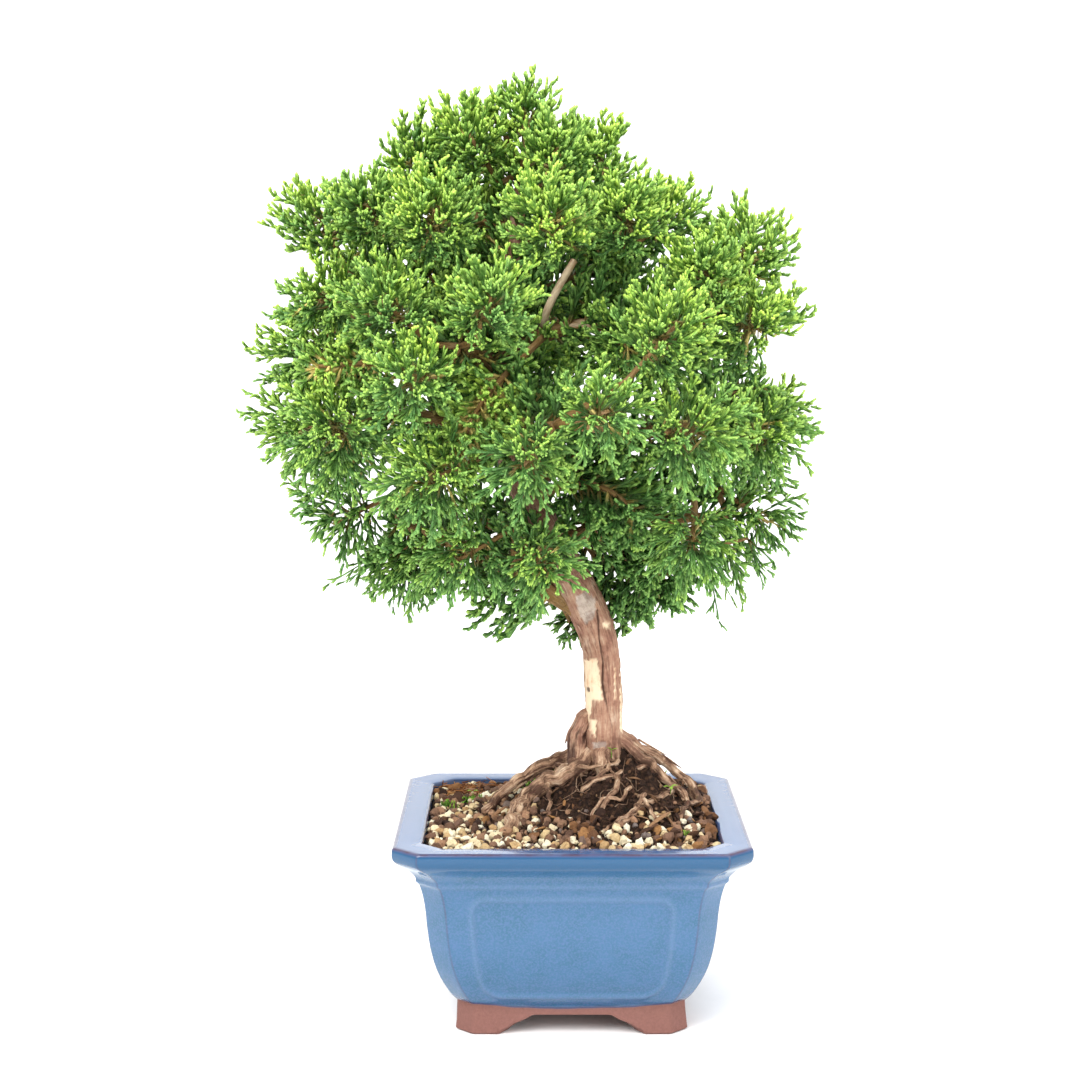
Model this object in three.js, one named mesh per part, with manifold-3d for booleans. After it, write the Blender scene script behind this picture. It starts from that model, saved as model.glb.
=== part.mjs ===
// Kishu juniper bonsai growing in a square glazed clay pot.
// Millimetres, +Z up. The tree and the pot are laid out from the middle of the pot's footprint, with
// the table at height zero, and the finished group is moved so that its box stands centred on the
// origin.
import * as THREE from 'three';
import { mergeVertices } from 'three/addons/utils/BufferGeometryUtils.js';
import Module from 'manifold-3d';

const wasm = await Module();
wasm.setup();

// Driving dimensions
const FIT_GAP = 0.3;
const POT_WIDTH = 150;
const POT_HEIGHT = 85;
const CORNER_CUT = 0.145;
const LIP_WIDTH = 12.5;
const FLOOR_TOP = 14;
const BELLY_UNDERSIDE = 8.8;
const FOOT_WALL_INSIDE = 42;
const DRAIN_HOLE_RADIUS = 9;
const SCREEN_SIZE = 30;
const SCREEN_THICKNESS = 1.2;
const SOIL_EDGE_HEIGHT = 82.3;
const MOUND_HEIGHT = 27;
const MOUND_SPREAD = 26;
const MOUND_CENTRE = [16, 8];
const GRAVEL_PITCH = 7.2;
const GRAVEL_RELIEF = 2.4;
const SHOOT_RADIUS = 1.2;
const SHOOTS_PER_SPRAY = 13;

// Small helpers for vectors, seeded draws and solids
const WELD_DISTANCE = 1e-4;
const NEARLY_UPRIGHT = 0.9;
const DRAW_STEP = 1664525;
const DRAW_SHIFT = 1013904223;
const DRAW_RANGE = 2 ** 32;
const vec = (x, y, z) => new THREE.Vector3(x, y, z);
const UP = vec(0, 0, 1);

// A direction square to the given one, the same each time
function squareTo(along) {
  const across = Math.abs(along.z) > NEARLY_UPRIGHT ? vec(1, 0, 0) : UP.clone();
  return across.addScaledVector(along, -across.dot(along)).normalize();
}

// Random numbers from 0 to 1 that come out the same for the same seed
function seededDraw(seed) {
  let state = seed;
  return () => {
    state = (state * DRAW_STEP + DRAW_SHIFT) % DRAW_RANGE;
    return state / DRAW_RANGE;
  };
}

// A closed surface as a solid, for joining and cutting
function solidFrom(geometry) {
  const bare = geometry.clone();
  bare.deleteAttribute('normal');
  bare.deleteAttribute('uv');
  const welded = mergeVertices(bare, WELD_DISTANCE);
  return new wasm.Manifold(new wasm.Mesh({
    numProp: 3,
    vertProperties: Float32Array.from(welded.attributes.position.array),
    triVerts: Uint32Array.from(welded.index.array),
  }));
}

// A solid back as a surface
function geometryFrom(solid) {
  const mesh = solid.getMesh();
  const geometry = new THREE.BufferGeometry();
  const positions = new Float32Array(mesh.numVert * 3);
  for (let i = 0; i < mesh.numVert; i += 1) {
    for (let axis = 0; axis < 3; axis += 1) {
      positions[i * 3 + axis] = mesh.vertProperties[i * mesh.numProp + axis];
    }
  }
  geometry.setAttribute('position', new THREE.BufferAttribute(positions, 3));
  geometry.setIndex(new THREE.BufferAttribute(Uint32Array.from(mesh.triVerts), 1));
  geometry.computeVertexNormals();
  return geometry;
}

// The largest body of a solid, without the loose scraps that a cut can leave
function withoutScraps(solid) {
  return solid.decompose().reduce((kept, piece) => (piece.volume() > kept.volume() ? piece : kept));
}

// A closed skin over a row of rings with the same number of points, each seen counter-clockwise from
// the end that the row runs towards. A closed row joins its last ring to its first.
function skinOver(rings, closedRow = false) {
  const count = rings[0].length;
  const positions = [];
  const faces = [];
  for (const ring of rings) {
    for (const point of ring) {
      positions.push(point.x, point.y, point.z);
    }
  }
  const spans = closedRow ? rings.length : rings.length - 1;
  for (let r = 0; r < spans; r += 1) {
    const next = (r + 1) % rings.length;
    for (let i = 0; i < count; i += 1) {
      const j = (i + 1) % count;
      const a = r * count + i;
      const b = r * count + j;
      const c = next * count + j;
      const d = next * count + i;
      faces.push(a, b, c, a, c, d);
    }
  }
  if (!closedRow) {
    const last = rings.length - 1;
    for (let i = 1; i < count - 1; i += 1) {
      faces.push(0, i + 1, i);
      faces.push(last * count, last * count + i, last * count + i + 1);
    }
  }
  const geometry = new THREE.BufferGeometry();
  geometry.setAttribute('position', new THREE.Float32BufferAttribute(positions, 3));
  geometry.setIndex(faces);
  return geometry;
}

// A piece of the bonsai with its name and finish
function named(name, geometry, color, roughness) {
  const finish = new THREE.MeshStandardMaterial({ color, roughness, metalness: 0 });
  const mesh = new THREE.Mesh(geometry, finish);
  mesh.name = name;
  return mesh;
}

// The pot: one fired body with a lip, a swelling belly and four bracket feet. Both profiles are rows
// of [half width, height], the first up the outside and the second up the inside of the well.
const POT_PROFILE = [
  [49.5, 0], [48.3, 12], [50.1, 14.3], [54.1, 20.8], [57.3, 28.2], [59.7, 37.5], [61, 46.6],
  [62.1, 57.6], [63.3, 63.8], [64.4, 67.3], [66.3, 71.2], [69.3, 74.6], [72.8, 77.5],
  [74.5, 79.5], [75, 81.7], [75, 84.3], [74.3, 85],
];
const WELL_PROFILE = [
  [42, FLOOR_TOP], [46.5, 19.5], [51, 27], [54.2, 37], [55.8, 47], [57.2, 58], [58.8, 67],
  [61.6, 78], [POT_WIDTH / 2 - LIP_WIDTH, POT_HEIGHT],
];
const ABOVE_POT = 45;
const DRAIN_SIDES = 20;
const BELLY_HALF = 63;
const FRAME_SPAN = 0.68;
const FRAME_TOP = 62.5;
const FRAME_FOOT = 17.5;
const FRAME_CORNER = 7;
const FRAME_RIDGE = 0.7;
const FRAME_HALF_WIDTH = 1;
const CORNER_STEPS = 2;
const UPRIGHT_STEPS = 4;
// The arch between two feet, from the side of a foot up to the underside of the belly
const ARCH_POINTS = [
  [30.7, 0], [28, 1.5], [24.3, 4.3], [19.5, 6.6], [16.8, 8.6], [14.9, BELLY_UNDERSIDE],
];

// A square ring with its corners cut off, half as wide as given
function cutSquare(half, height) {
  const inner = half * (1 - CORNER_CUT);
  const corner = [[half, -inner], [half, inner], [inner, half], [-inner, half],
    [-half, inner], [-half, -inner], [-inner, -half], [inner, -half]];
  return corner.map(([x, y]) => vec(x, y, height));
}

// Half the pot's width at a height, read off a profile
function halfWidthAt(profile, height) {
  for (let i = 1; i < profile.length; i += 1) {
    const [w0, z0] = profile[i - 1];
    const [w1, z1] = profile[i];
    if (height <= z1) {
      return w0 + ((w1 - w0) * (height - z0)) / (z1 - z0);
    }
  }
  return profile[profile.length - 1][0];
}

// The raised moulding that frames one side of the belly, on the side that faces -Y
function sideFrame() {
  const outline = [];
  const straightRun = (x0, z0, x1, z1, steps) => {
    for (let i = 0; i < steps; i += 1) {
      outline.push([x0 + ((x1 - x0) * i) / steps, z0 + ((z1 - z0) * i) / steps]);
    }
  };
  const cornerX = 1 - FRAME_CORNER / (FRAME_SPAN * BELLY_HALF);
  const lowTurn = FRAME_FOOT + FRAME_CORNER;
  const highTurn = FRAME_TOP - FRAME_CORNER;
  straightRun(cornerX, FRAME_FOOT, 1, lowTurn, CORNER_STEPS);
  straightRun(1, lowTurn, 1, highTurn, UPRIGHT_STEPS);
  straightRun(1, highTurn, cornerX, FRAME_TOP, CORNER_STEPS);
  straightRun(cornerX, FRAME_TOP, -cornerX, FRAME_TOP, 1);
  straightRun(-cornerX, FRAME_TOP, -1, highTurn, CORNER_STEPS);
  straightRun(-1, highTurn, -1, lowTurn, UPRIGHT_STEPS);
  straightRun(-1, lowTurn, -cornerX, FRAME_FOOT, CORNER_STEPS);
  straightRun(-cornerX, FRAME_FOOT, cornerX, FRAME_FOOT, 1);
  const onWall = outline.map(([across, height]) => {
    const half = halfWidthAt(POT_PROFILE, height);
    return vec(across * half * FRAME_SPAN, -half, height);
  });
  const rings = onWall.map((point, i) => {
    const before = onWall[(i + onWall.length - 1) % onWall.length];
    const after = onWall[(i + 1) % onWall.length];
    const along = after.clone().sub(before).normalize();
    const outward = vec(0, -1, 0);
    const sideways = outward.clone().cross(along).normalize().multiplyScalar(FRAME_HALF_WIDTH);
    const crest = point.clone().addScaledVector(outward, FRAME_RIDGE);
    const buried = point.clone().addScaledVector(outward, -FRAME_RIDGE);
    return [crest, buried.clone().sub(sideways), buried.clone().add(sideways)];
  });
  return skinOver(rings, true);
}

// The outside, less the well, the hollow between the feet, the four arches and the drain hole
function makePot() {
  let body = solidFrom(skinOver(POT_PROFILE.map(([half, height]) => cutSquare(half, height))));
  for (let side = 0; side < 4; side += 1) {
    const frame = sideFrame().rotateZ((side * Math.PI) / 2);
    body = body.add(solidFrom(frame));
  }
  const wellRings = WELL_PROFILE.map(([half, height]) => cutSquare(half, height));
  wellRings.push(cutSquare(POT_WIDTH / 2 - LIP_WIDTH, POT_HEIGHT + ABOVE_POT));
  body = body.subtract(solidFrom(skinOver(wellRings)));
  const hollowWidth = FOOT_WALL_INSIDE * 2;
  const underHollow = new THREE.BoxGeometry(hollowWidth, hollowWidth, BELLY_UNDERSIDE * 2);
  body = body.subtract(solidFrom(underHollow));
  const arch = new THREE.Shape();
  arch.moveTo(ARCH_POINTS[0][0], -BELLY_UNDERSIDE);
  for (const [x, z] of ARCH_POINTS) {
    arch.lineTo(x, z);
  }
  for (const [x, z] of [...ARCH_POINTS].reverse()) {
    arch.lineTo(-x, z);
  }
  arch.lineTo(-ARCH_POINTS[0][0], -BELLY_UNDERSIDE);
  const archDepth = POT_WIDTH;
  const throughY = new THREE.ExtrudeGeometry(arch, { depth: archDepth, bevelEnabled: false });
  throughY.translate(0, 0, -archDepth / 2);
  throughY.rotateX(Math.PI / 2);
  body = body.subtract(solidFrom(throughY));
  body = body.subtract(solidFrom(throughY.clone().rotateZ(Math.PI / 2)));
  const drainLength = FLOOR_TOP * 3;
  const drain = new THREE.CylinderGeometry(DRAIN_HOLE_RADIUS, DRAIN_HOLE_RADIUS, drainLength, DRAIN_SIDES);
  drain.rotateX(Math.PI / 2);
  return body.subtract(solidFrom(drain));
}

// The plastic screen that lies over the drain hole
const SCREEN_HOLES = 4;
const SCREEN_BAR = 1.4;

function makeScreen() {
  const middleHeight = FLOOR_TOP + FIT_GAP + SCREEN_THICKNESS / 2;
  const sheet = new THREE.BoxGeometry(SCREEN_SIZE, SCREEN_SIZE, SCREEN_THICKNESS);
  let screen = solidFrom(sheet.translate(0, 0, middleHeight));
  const pitch = (SCREEN_SIZE - SCREEN_BAR) / SCREEN_HOLES;
  const hole = pitch - SCREEN_BAR;
  const firstMiddle = -((SCREEN_HOLES - 1) * pitch) / 2;
  for (let row = 0; row < SCREEN_HOLES; row += 1) {
    for (let column = 0; column < SCREEN_HOLES; column += 1) {
      const opening = new THREE.BoxGeometry(hole, hole, SCREEN_THICKNESS * 2);
      opening.translate(firstMiddle + column * pitch, firstMiddle + row * pitch, middleHeight);
      screen = screen.subtract(solidFrom(opening));
    }
  }
  return screen;
}

// The tree's wood, each root and limb as a row of places [x, y, z, radius]
const TRUNK = [
  [15, 7, 84, 12], [15, 5, 100, 11], [14.5, 1.5, 114, 9], [14.5, 0, 124, 8.1], [14.2, 0, 140, 7.8],
  [13, 0, 156, 7.6], [9, 0, 171, 8], [2, 0, 185, 8], [-7, 1, 201, 7.4], [-17, 2, 220, 6.9],
  [-26, 3, 243, 6.4], [-31, 3, 268, 5.8], [-31, 2, 294, 5], [-27, 0, 320, 4.1],
  [-23, -1, 345, 3], [-21, -2, 364, 2.1],
];
const ROOTS = {
  front_left: [
    [11, 0, 112, 5], [3, -5, 106, 4.2], [-5, -6, 102, 3.8], [-13, -6, 97.5, 3.5], [-20, -9, 92, 3.3],
    [-24, -18, 88, 3.2], [-25.5, -29, 84.5, 3.1], [-26, -37, 77, 2.4],
  ],
  left: [
    [9, 3, 114, 5], [0, 4, 109, 3.8], [-11, 4, 105, 3], [-21, 3, 99.5, 2.6], [-31, 0, 92, 2.3],
    [-39, -4, 84, 1.9], [-44, -6, 77, 1.5],
  ],
  knob: [
    [11, 1, 129, 3.4], [6.5, 0, 126, 4.2], [3, -2, 119, 4.8], [2.5, -3, 111, 4.6], [4, -4, 102, 4],
  ],
  front: [[13.5, 0, 122, 6.6], [13.2, -4, 112, 5.2], [12.8, -8, 104, 3.8], [12, -10, 96, 3]],
  right: [
    [16, 1, 122, 4], [24, -1, 115.5, 2.8], [34, -2, 107, 2.5], [42, -3, 100, 2.3],
    [48.5, -6, 93.5, 2.1], [52, -13, 87, 1.9], [53, -19, 79, 1.5],
  ],
  far_right: [
    [17, 5, 120, 4.2], [30, 6, 112.5, 2.6], [42, 9, 104.5, 2.3], [51.5, 7, 97, 2.1],
    [56.5, 0, 90, 2], [57.3, -7, 83, 1.7], [57, -12, 77, 1.4],
  ],
  back_left: [
    [11, 8, 114, 4.5], [2, 17, 107, 3.4], [-8, 27, 99, 2.9], [-17, 38, 88, 2.3],
    [-21, 46, 79, 1.8],
  ],
  back: [[14, 10, 113, 4.5], [15, 23, 107, 3.2], [12, 37, 97, 2.7], [9, 48, 86, 2.1], [7, 53, 78, 1.8]],
  back_right: [
    [18, 8, 115, 4.4], [27, 20, 107, 3.1], [36, 32, 97, 2.6], [42, 42, 86, 2],
    [44, 48, 78, 1.7],
  ],
  thin_cross: [
    [34, -2, 106, 1.6], [28, -6, 105, 1.4], [20, -11, 104, 1.4], [11, -14, 102, 1.3],
    [4, -15, 97, 1.2],
  ],
  thin_front: [
    [20, -11, 103.5, 1.4], [20, -18, 100, 1.4], [15, -25, 95.5, 1.3], [11, -31, 90, 1.2],
    [9, -35, 84, 1.1],
  ],
  thin_right: [
    [46, -4, 96, 1.7], [39, -14, 94.5, 1.5], [31, -23, 93.5, 1.4], [25, -32, 90, 1.3],
    [18, -40, 86.5, 1.2], [12, -44, 80, 1.1],
  ],
};
const LIMBS = {
  low_left: [
    [8, 0, 172, 5], [-5, -1, 180, 4], [-20, -5, 189, 3.4], [-38, -13, 200, 2.8],
    [-56, -18, 208, 2.2], [-74, -18, 214, 1.6],
  ],
  low_right: [
    [-6, 1, 202, 4.6], [10, 4, 209, 3.6], [30, 4, 213, 2.9], [50, 0, 215, 2.2],
    [68, 0, 216, 1.7],
  ],
  low_front: [[-8, 1, 204, 4.4], [-12, -16, 205, 3.1], [-18, -34, 204, 2.2], [-24, -44, 202, 1.7]],
  low_back: [[-8, 2, 204, 4.4], [-13, 18, 206, 3.2], [-26, 34, 207, 2.4], [-40, 46, 206, 1.7]],
  middle_left: [[-27, 3, 248, 4.6], [-47, 0, 255, 3.4], [-68, -6, 260, 2.6], [-84, -8, 260, 1.9]],
  middle_right: [
    [-20, 3, 230, 5], [2, 0, 243, 3.8], [26, -6, 251, 3], [48, -14, 256, 2.3],
    [66, -12, 258, 1.7],
  ],
  middle_front: [[-26, 2, 244, 4.2], [-25, -20, 252, 3], [-20, -42, 256, 2.2], [-8, -62, 260, 1.7]],
  middle_back: [[-27, 3, 250, 4.4], [-28, 28, 252, 3.2], [-26, 52, 251, 2.4], [-22, 72, 249, 1.7]],
  upper_left: [[-31, 2, 288, 4.2], [-52, 2, 299, 3.2], [-72, 1, 311, 2.6], [-86, 0, 318, 2]],
  upper_right: [
    [-30, 2, 284, 4.2], [-10, -4, 295, 3.4], [14, -8, 299, 2.9], [38, -8, 299, 2.5],
    [56, -6, 299, 2.2], [66, -5, 307, 1.7],
  ],
  upper_front: [[-31, 2, 276, 3.8], [-38, -22, 286, 2.7], [-46, -46, 291, 1.8]],
  upper_back: [[-30, 2, 300, 4], [-32, 28, 306, 3], [-32, 52, 308, 2.3], [-26, 68, 308, 1.7]],
  crown_left: [[-24, 0, 338, 2.8], [-42, 2, 345, 2.2], [-62, 2, 352, 1.6]],
  crown_right: [[-25, 0, 334, 2.9], [-8, -2, 340, 2.4], [10, -4, 341, 2], [21, -6, 338, 1.6]],
  cut_stub: [[-12, -4, 296, 3], [-11, -12, 304, 2.6], [-6, -15, 314, 2.5], [1, -16, 326, 2.4]],
};
const TWIG_RADIUS = 1.5;
const TWIG_START_SWELL = 1.3;
const TWIG_END_TAPER = 0.85;
const TWIG_SIDES = 3;
const TWIG_END_RUN = 5;
const TWIG_SITES_PER_LIMB = 10;
const FIRST_TWIG_SITE = 4;
const TWIG_SITES_ON_TRUNK = 20;
const FIRST_TRUNK_SITE = 15;
const STEM_GAP = 0.5;
const LIMB_SIDES = 4;
const FLUTE_DEPTH = 0.055;
const FLUTE_STEP = 1.7;
const COARSE_FLUTES = 3;
const FINE_FLUTES = 5;
const FINE_FLUTE_SHARE = 0.6;
const TRUNK_SIDES = 10;
const THICK_ROOT = 2;
const THICK_ROOT_SIDES = 5;
const THIN_ROOT_SIDES = 3;
const ROOT_ROOM = 0.4;

function rootSides(places) {
  return places[1][3] > THICK_ROOT ? THICK_ROOT_SIDES : THIN_ROOT_SIDES;
}

// A round limb through its places, with sides flat between rings and flutes along its length
function limbRings(places, sides, stepsPerSpan, flute = 0) {
  const curve = new THREE.CatmullRomCurve3(places.map(([x, y, z]) => vec(x, y, z)));
  const steps = (places.length - 1) * stepsPerSpan;
  const rings = [];
  let across = null;
  for (let i = 0; i <= steps; i += 1) {
    const t = i / steps;
    const along = curve.getTangent(t);
    if (across === null) {
      across = squareTo(along);
    }
    across = across.clone().addScaledVector(along, -across.dot(along)).normalize();
    const third = along.clone().cross(across);
    const span = Math.min(Math.floor(t * (places.length - 1)), places.length - 2);
    const part = t * (places.length - 1) - span;
    const radius = places[span][3] * (1 - part) + places[span + 1][3] * part;
    const middle = curve.getPoint(t);
    const ring = [];
    for (let s = 0; s < sides; s += 1) {
      const angle = (s / sides) * Math.PI * 2;
      const coarse = Math.cos(COARSE_FLUTES * angle + i * FLUTE_STEP);
      const fine = Math.cos(FINE_FLUTES * angle - i) * FINE_FLUTE_SHARE;
      const swell = 1 + flute * (coarse + fine);
      ring.push(middle.clone()
        .addScaledVector(across, Math.cos(angle) * radius * swell)
        .addScaledVector(third, Math.sin(angle) * radius * swell));
    }
    rings.push(ring);
  }
  return rings;
}

// The foliage sprays by tier: [x, y, z, reach], reach being the spray's half width
const FOLIAGE = {
  crown: [
    [-20, -5, 388, 19], [-43, -16, 378, 22], [-67, -4, 371, 22], [-7, -28, 370, 22],
    [13, 4, 371, 20], [-50, 34, 366, 25], [-4, 38, 365, 25],
  ],
  upper: [
    [-108, 0, 345, 25], [-86, -28, 348, 23], [-56, -52, 345, 26], [-10, -64, 344, 26],
    [22, -40, 345, 23], [42, -4, 344, 22], [76, -6, 333, 25], [54, -48, 322, 24],
    [-90, 42, 336, 28], [-38, 76, 334, 29], [16, 70, 336, 29], [64, 44, 320, 28],
  ],
  middle: [
    [-104, -24, 309, 24], [-76, -62, 309, 24], [-33, -80, 310, 23], [-115, 14, 287, 25],
    [-66, -84, 280, 23], [22, -38, 292, 20], [38, -78, 298, 25], [76, -34, 298, 23],
    [84, 12, 297, 23], [-97, 60, 294, 28], [-56, 92, 294, 28],
    [-6, 98, 294, 28], [46, 76, 288, 29],
  ],
  lower: [
    [-114, -10, 255, 25], [-97, -54, 255, 28], [-60, -76, 238, 25], [-20, -86, 246, 21],
    [12, -90, 267, 22], [50, -78, 258, 26], [78, -38, 253, 26], [82, 6, 256, 23],
    [-104, 42, 250, 28], [-56, 88, 246, 28], [2, 92, 248, 28], [54, 62, 246, 28],
  ],
  hanging: [
    [-99, -20, 216, 25], [-74, 0, 190, 25], [-48, -52, 203, 26], [-10, -60, 199, 25],
    [50, -42, 208, 28], [84, 2, 214, 23], [38, 2, 186, 23], [-64, 48, 203, 27],
    [-14, 60, 200, 27], [34, 44, 206, 24], [2, 20, 162, 13],
  ],
};
// How far each tier's sprays lean: up for the crown, down where the shoots hang
const LEAN = { crown: 0.7, upper: 0.45, middle: 0.25, lower: 0.05, hanging: -0.55 };
const STEM_START = 0.86;
const CORE_SIDES = 5;
// Places along a spray's core [distance along, radius], as parts of the reach from its middle
const CORE_PROFILE = [[-0.35, 0.48], [0.12, 0.6], [0.52, 0.3]];
const CORE_TWIST = 0.3;
const CORE_REACH = { crown: 1, upper: 1, middle: 1, lower: 0.92, hanging: 0.66 };
const HANG_STRETCH = 1.2;
const ROOT_SPREAD = 0.2;
const ROOT_DEPTH = 0.3;
// How the shoots of a spray are spread from the first, at its tip, to the last, near its stem
const LAST_LEVEL = 1.72;
const FIRST_SHOOT_STEP = 0.4;
const LOWEST_COSINE = -0.8;
const LEVEL_WANDER = 0.1;
const TURN_WANDER = 0.5;
const SHORTEST_SHOOT = 0.96;
const SHOOT_LENGTH_RANGE = 0.16;
// How many places are tried for a shoot, and how much further off each next try may lie
const TRIES_PER_SHOOT = 14;
const WANDER_PER_TRY = 0.09;
const TURN_WANDER_SHARE = 4;
const SHORTER_PER_TRY = 0.03;
// How far from a spray its shoots can meet other things
const NEIGHBOUR_REACH = 2.2;
const NEIGHBOUR_MARGIN = 30;
// Rounded shapes that stand for a spray's core among the things that shoots keep clear of
const CORE_LOW = -0.3;
const CORE_HIGH = 0.15;
const CORE_GIRTH = 0.6;
const CORE_LOW_GIRTH = 0.66;
const LIMB_CLEARANCE = 1.1;
const ROUGH_SIDES = 3;
const ROUGH_STEPS = 2;
const SHOOT_SEED = 29;
const GOLDEN_TURN = Math.PI * (3 - Math.sqrt(5));

// The place out of several that lies closest to a target
function closestPlace(places, target) {
  let best = null;
  for (const point of places) {
    const distance = point.distanceTo(target);
    if (best === null || distance < best.distance) {
      best = { distance, point };
    }
  }
  return best.point;
}

// Points along the limbs where twigs may leave
function twigSites() {
  const sites = [];
  for (const [name, places] of Object.entries(LIMBS)) {
    if (name === 'cut_stub') {
      continue;
    }
    const curve = new THREE.CatmullRomCurve3(places.map(([x, y, z]) => vec(x, y, z)));
    for (let i = FIRST_TWIG_SITE; i <= TWIG_SITES_PER_LIMB; i += 1) {
      sites.push(curve.getPoint(i / TWIG_SITES_PER_LIMB));
    }
  }
  const trunkCurve = new THREE.CatmullRomCurve3(TRUNK.map(([x, y, z]) => vec(x, y, z)));
  for (let i = FIRST_TRUNK_SITE; i <= TWIG_SITES_ON_TRUNK; i += 1) {
    sites.push(trunkCurve.getPoint(i / TWIG_SITES_ON_TRUNK));
  }
  return sites;
}

// Everything that a later step needs to know of one spray
function laySprays() {
  const sites = twigSites();
  const sprays = [];
  for (const [tier, rows] of Object.entries(FOLIAGE)) {
    rows.forEach(([x, y, z, reach], index) => {
      const middle = vec(x, y, z);
      const site = closestPlace(sites, middle);
      const axis = middle.clone().sub(site).normalize().addScaledVector(UP, LEAN[tier]).normalize();
      const stemEnd = middle.clone().addScaledVector(axis, -reach * STEM_START);
      const across = squareTo(axis);
      const third = axis.clone().cross(across);
      const name = `foliage_${tier}_${index + 1}`;
      sprays.push({
        name, tier, middle, reach, axis, across, third, site, stemEnd, shoots: [],
      });
    });
  }
  return sprays;
}

// A twig runs from its limb towards the spray and ends square to the spray's own stem
function twigPlaces(spray) {
  const { site, stemEnd, axis } = spray;
  const end = stemEnd.clone().addScaledVector(axis, -STEM_GAP);
  const turn = end.clone().addScaledVector(axis, -TWIG_END_RUN);
  const places = [
    [site, TWIG_RADIUS * TWIG_START_SWELL], [turn, TWIG_RADIUS], [end, TWIG_RADIUS * TWIG_END_TAPER],
  ];
  return places.map(([point, radius]) => [point.x, point.y, point.z, radius]);
}

// Trunk, roots, limbs and twigs grown together as one body
function makeWood(sprays) {
  let wood = solidFrom(skinOver(limbRings(TRUNK, TRUNK_SIDES, 1, FLUTE_DEPTH)));
  for (const places of Object.values(ROOTS)) {
    wood = wood.add(solidFrom(skinOver(limbRings(places, rootSides(places), 1))));
  }
  for (const places of Object.values(LIMBS)) {
    wood = wood.add(solidFrom(skinOver(limbRings(places, LIMB_SIDES, 1))));
  }
  for (const spray of sprays) {
    wood = wood.add(solidFrom(skinOver(limbRings(twigPlaces(spray), TWIG_SIDES, 1))));
  }
  return withoutScraps(wood);
}

// The soil: fills the well, mounds up to the roots, and is rough with grains on top
const GRAIN_SEED = 7;
const GRAIN_WANDER = 0.5;
const GRAIN_SINK = 0.6;
const WALL_GAP = FIT_GAP * 1.2;
const ROOM_ONWARD = ROOT_ROOM * 2;

function moundHeight(x, y) {
  const away = (x - MOUND_CENTRE[0]) ** 2 + (y - MOUND_CENTRE[1]) ** 2;
  return SOIL_EDGE_HEIGHT + MOUND_HEIGHT * Math.exp(-away / (2 * MOUND_SPREAD ** 2));
}

// Everything under the grains: an uneven top on straight walls that go down to the table
function gravelTop() {
  const draw = seededDraw(GRAIN_SEED);
  const half = POT_WIDTH / 2 - LIP_WIDTH + GRAVEL_PITCH / 2;
  const cells = Math.round((2 * half) / GRAVEL_PITCH);
  const pitch = (2 * half) / cells;
  const row = cells + 1;
  const positions = [];
  const faces = [];
  for (let j = 0; j < row; j += 1) {
    for (let i = 0; i < row; i += 1) {
      const x = -half + i * pitch + (draw() - 0.5) * pitch * GRAIN_WANDER;
      const y = -half + j * pitch + (draw() - 0.5) * pitch * GRAIN_WANDER;
      positions.push(x, y, moundHeight(x, y) + (draw() - GRAIN_SINK) * GRAVEL_RELIEF * 2);
    }
  }
  for (let j = 0; j < cells; j += 1) {
    for (let i = 0; i < cells; i += 1) {
      const a = j * row + i;
      faces.push(a, a + 1, a + row + 1, a, a + row + 1, a + row);
    }
  }
  // Walls down from the edge of the grains, closed by one low middle point
  const edge = [];
  for (let k = 0; k < cells; k += 1) {
    edge.push(k);
  }
  for (let k = 0; k < cells; k += 1) {
    edge.push(k * row + cells);
  }
  for (let k = cells; k > 0; k -= 1) {
    edge.push(cells * row + k);
  }
  for (let k = cells; k > 0; k -= 1) {
    edge.push(k * row);
  }
  const firstLow = positions.length / 3;
  for (const index of edge) {
    positions.push(positions[index * 3], positions[index * 3 + 1], 0);
  }
  const lowMiddle = positions.length / 3;
  positions.push(0, 0, 0);
  edge.forEach((top, k) => {
    const nextTop = edge[(k + 1) % edge.length];
    const low = firstLow + k;
    const nextLow = firstLow + ((k + 1) % edge.length);
    faces.push(top, low, nextLow, top, nextLow, nextTop);
    faces.push(low, lowMiddle, nextLow);
  });
  const geometry = new THREE.BufferGeometry();
  geometry.setAttribute('position', new THREE.Float32BufferAttribute(positions, 3));
  geometry.setIndex(faces);
  return geometry;
}

// The room that the soil leaves round a root: a little wider, and past its buried end
function roomRound(places, sides, flute = 0) {
  const wider = places.map(([x, y, z, radius]) => [x, y, z, radius + ROOT_ROOM]);
  const rings = limbRings(wider, sides, 1, flute);
  const last = rings[rings.length - 1];
  const before = rings[rings.length - 2];
  const onward = last[0].clone().sub(before[0]).normalize().multiplyScalar(ROOM_ONWARD);
  rings.push(last.map((point) => point.clone().add(onward)));
  return solidFrom(skinOver(rings));
}

// The well's filling under the grains, less the room for the screen, the trunk and the roots
function makeSoil() {
  const rings = WELL_PROFILE.map(([half, height]) => cutSquare(half - WALL_GAP, height));
  rings[0] = cutSquare(WELL_PROFILE[0][0] - WALL_GAP, FLOOR_TOP + FIT_GAP);
  rings.push(cutSquare(POT_WIDTH / 2 - LIP_WIDTH - WALL_GAP, POT_HEIGHT + ABOVE_POT));
  let soil = solidFrom(skinOver(rings)).intersect(solidFrom(gravelTop()));
  const bedSize = SCREEN_SIZE + FIT_GAP * 2;
  const screenBed = new THREE.BoxGeometry(bedSize, bedSize, (SCREEN_THICKNESS + FIT_GAP * 2) * 2);
  soil = soil.subtract(solidFrom(screenBed.translate(0, 0, FLOOR_TOP)));
  soil = soil.subtract(roomRound(TRUNK, TRUNK_SIDES, FLUTE_DEPTH));
  for (const places of Object.values(ROOTS)) {
    soil = soil.subtract(roomRound(places, rootSides(places)));
  }
  return withoutScraps(soil);
}

// Shortest distance between two straight stretches
const PARALLEL = 1e-9;

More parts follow.
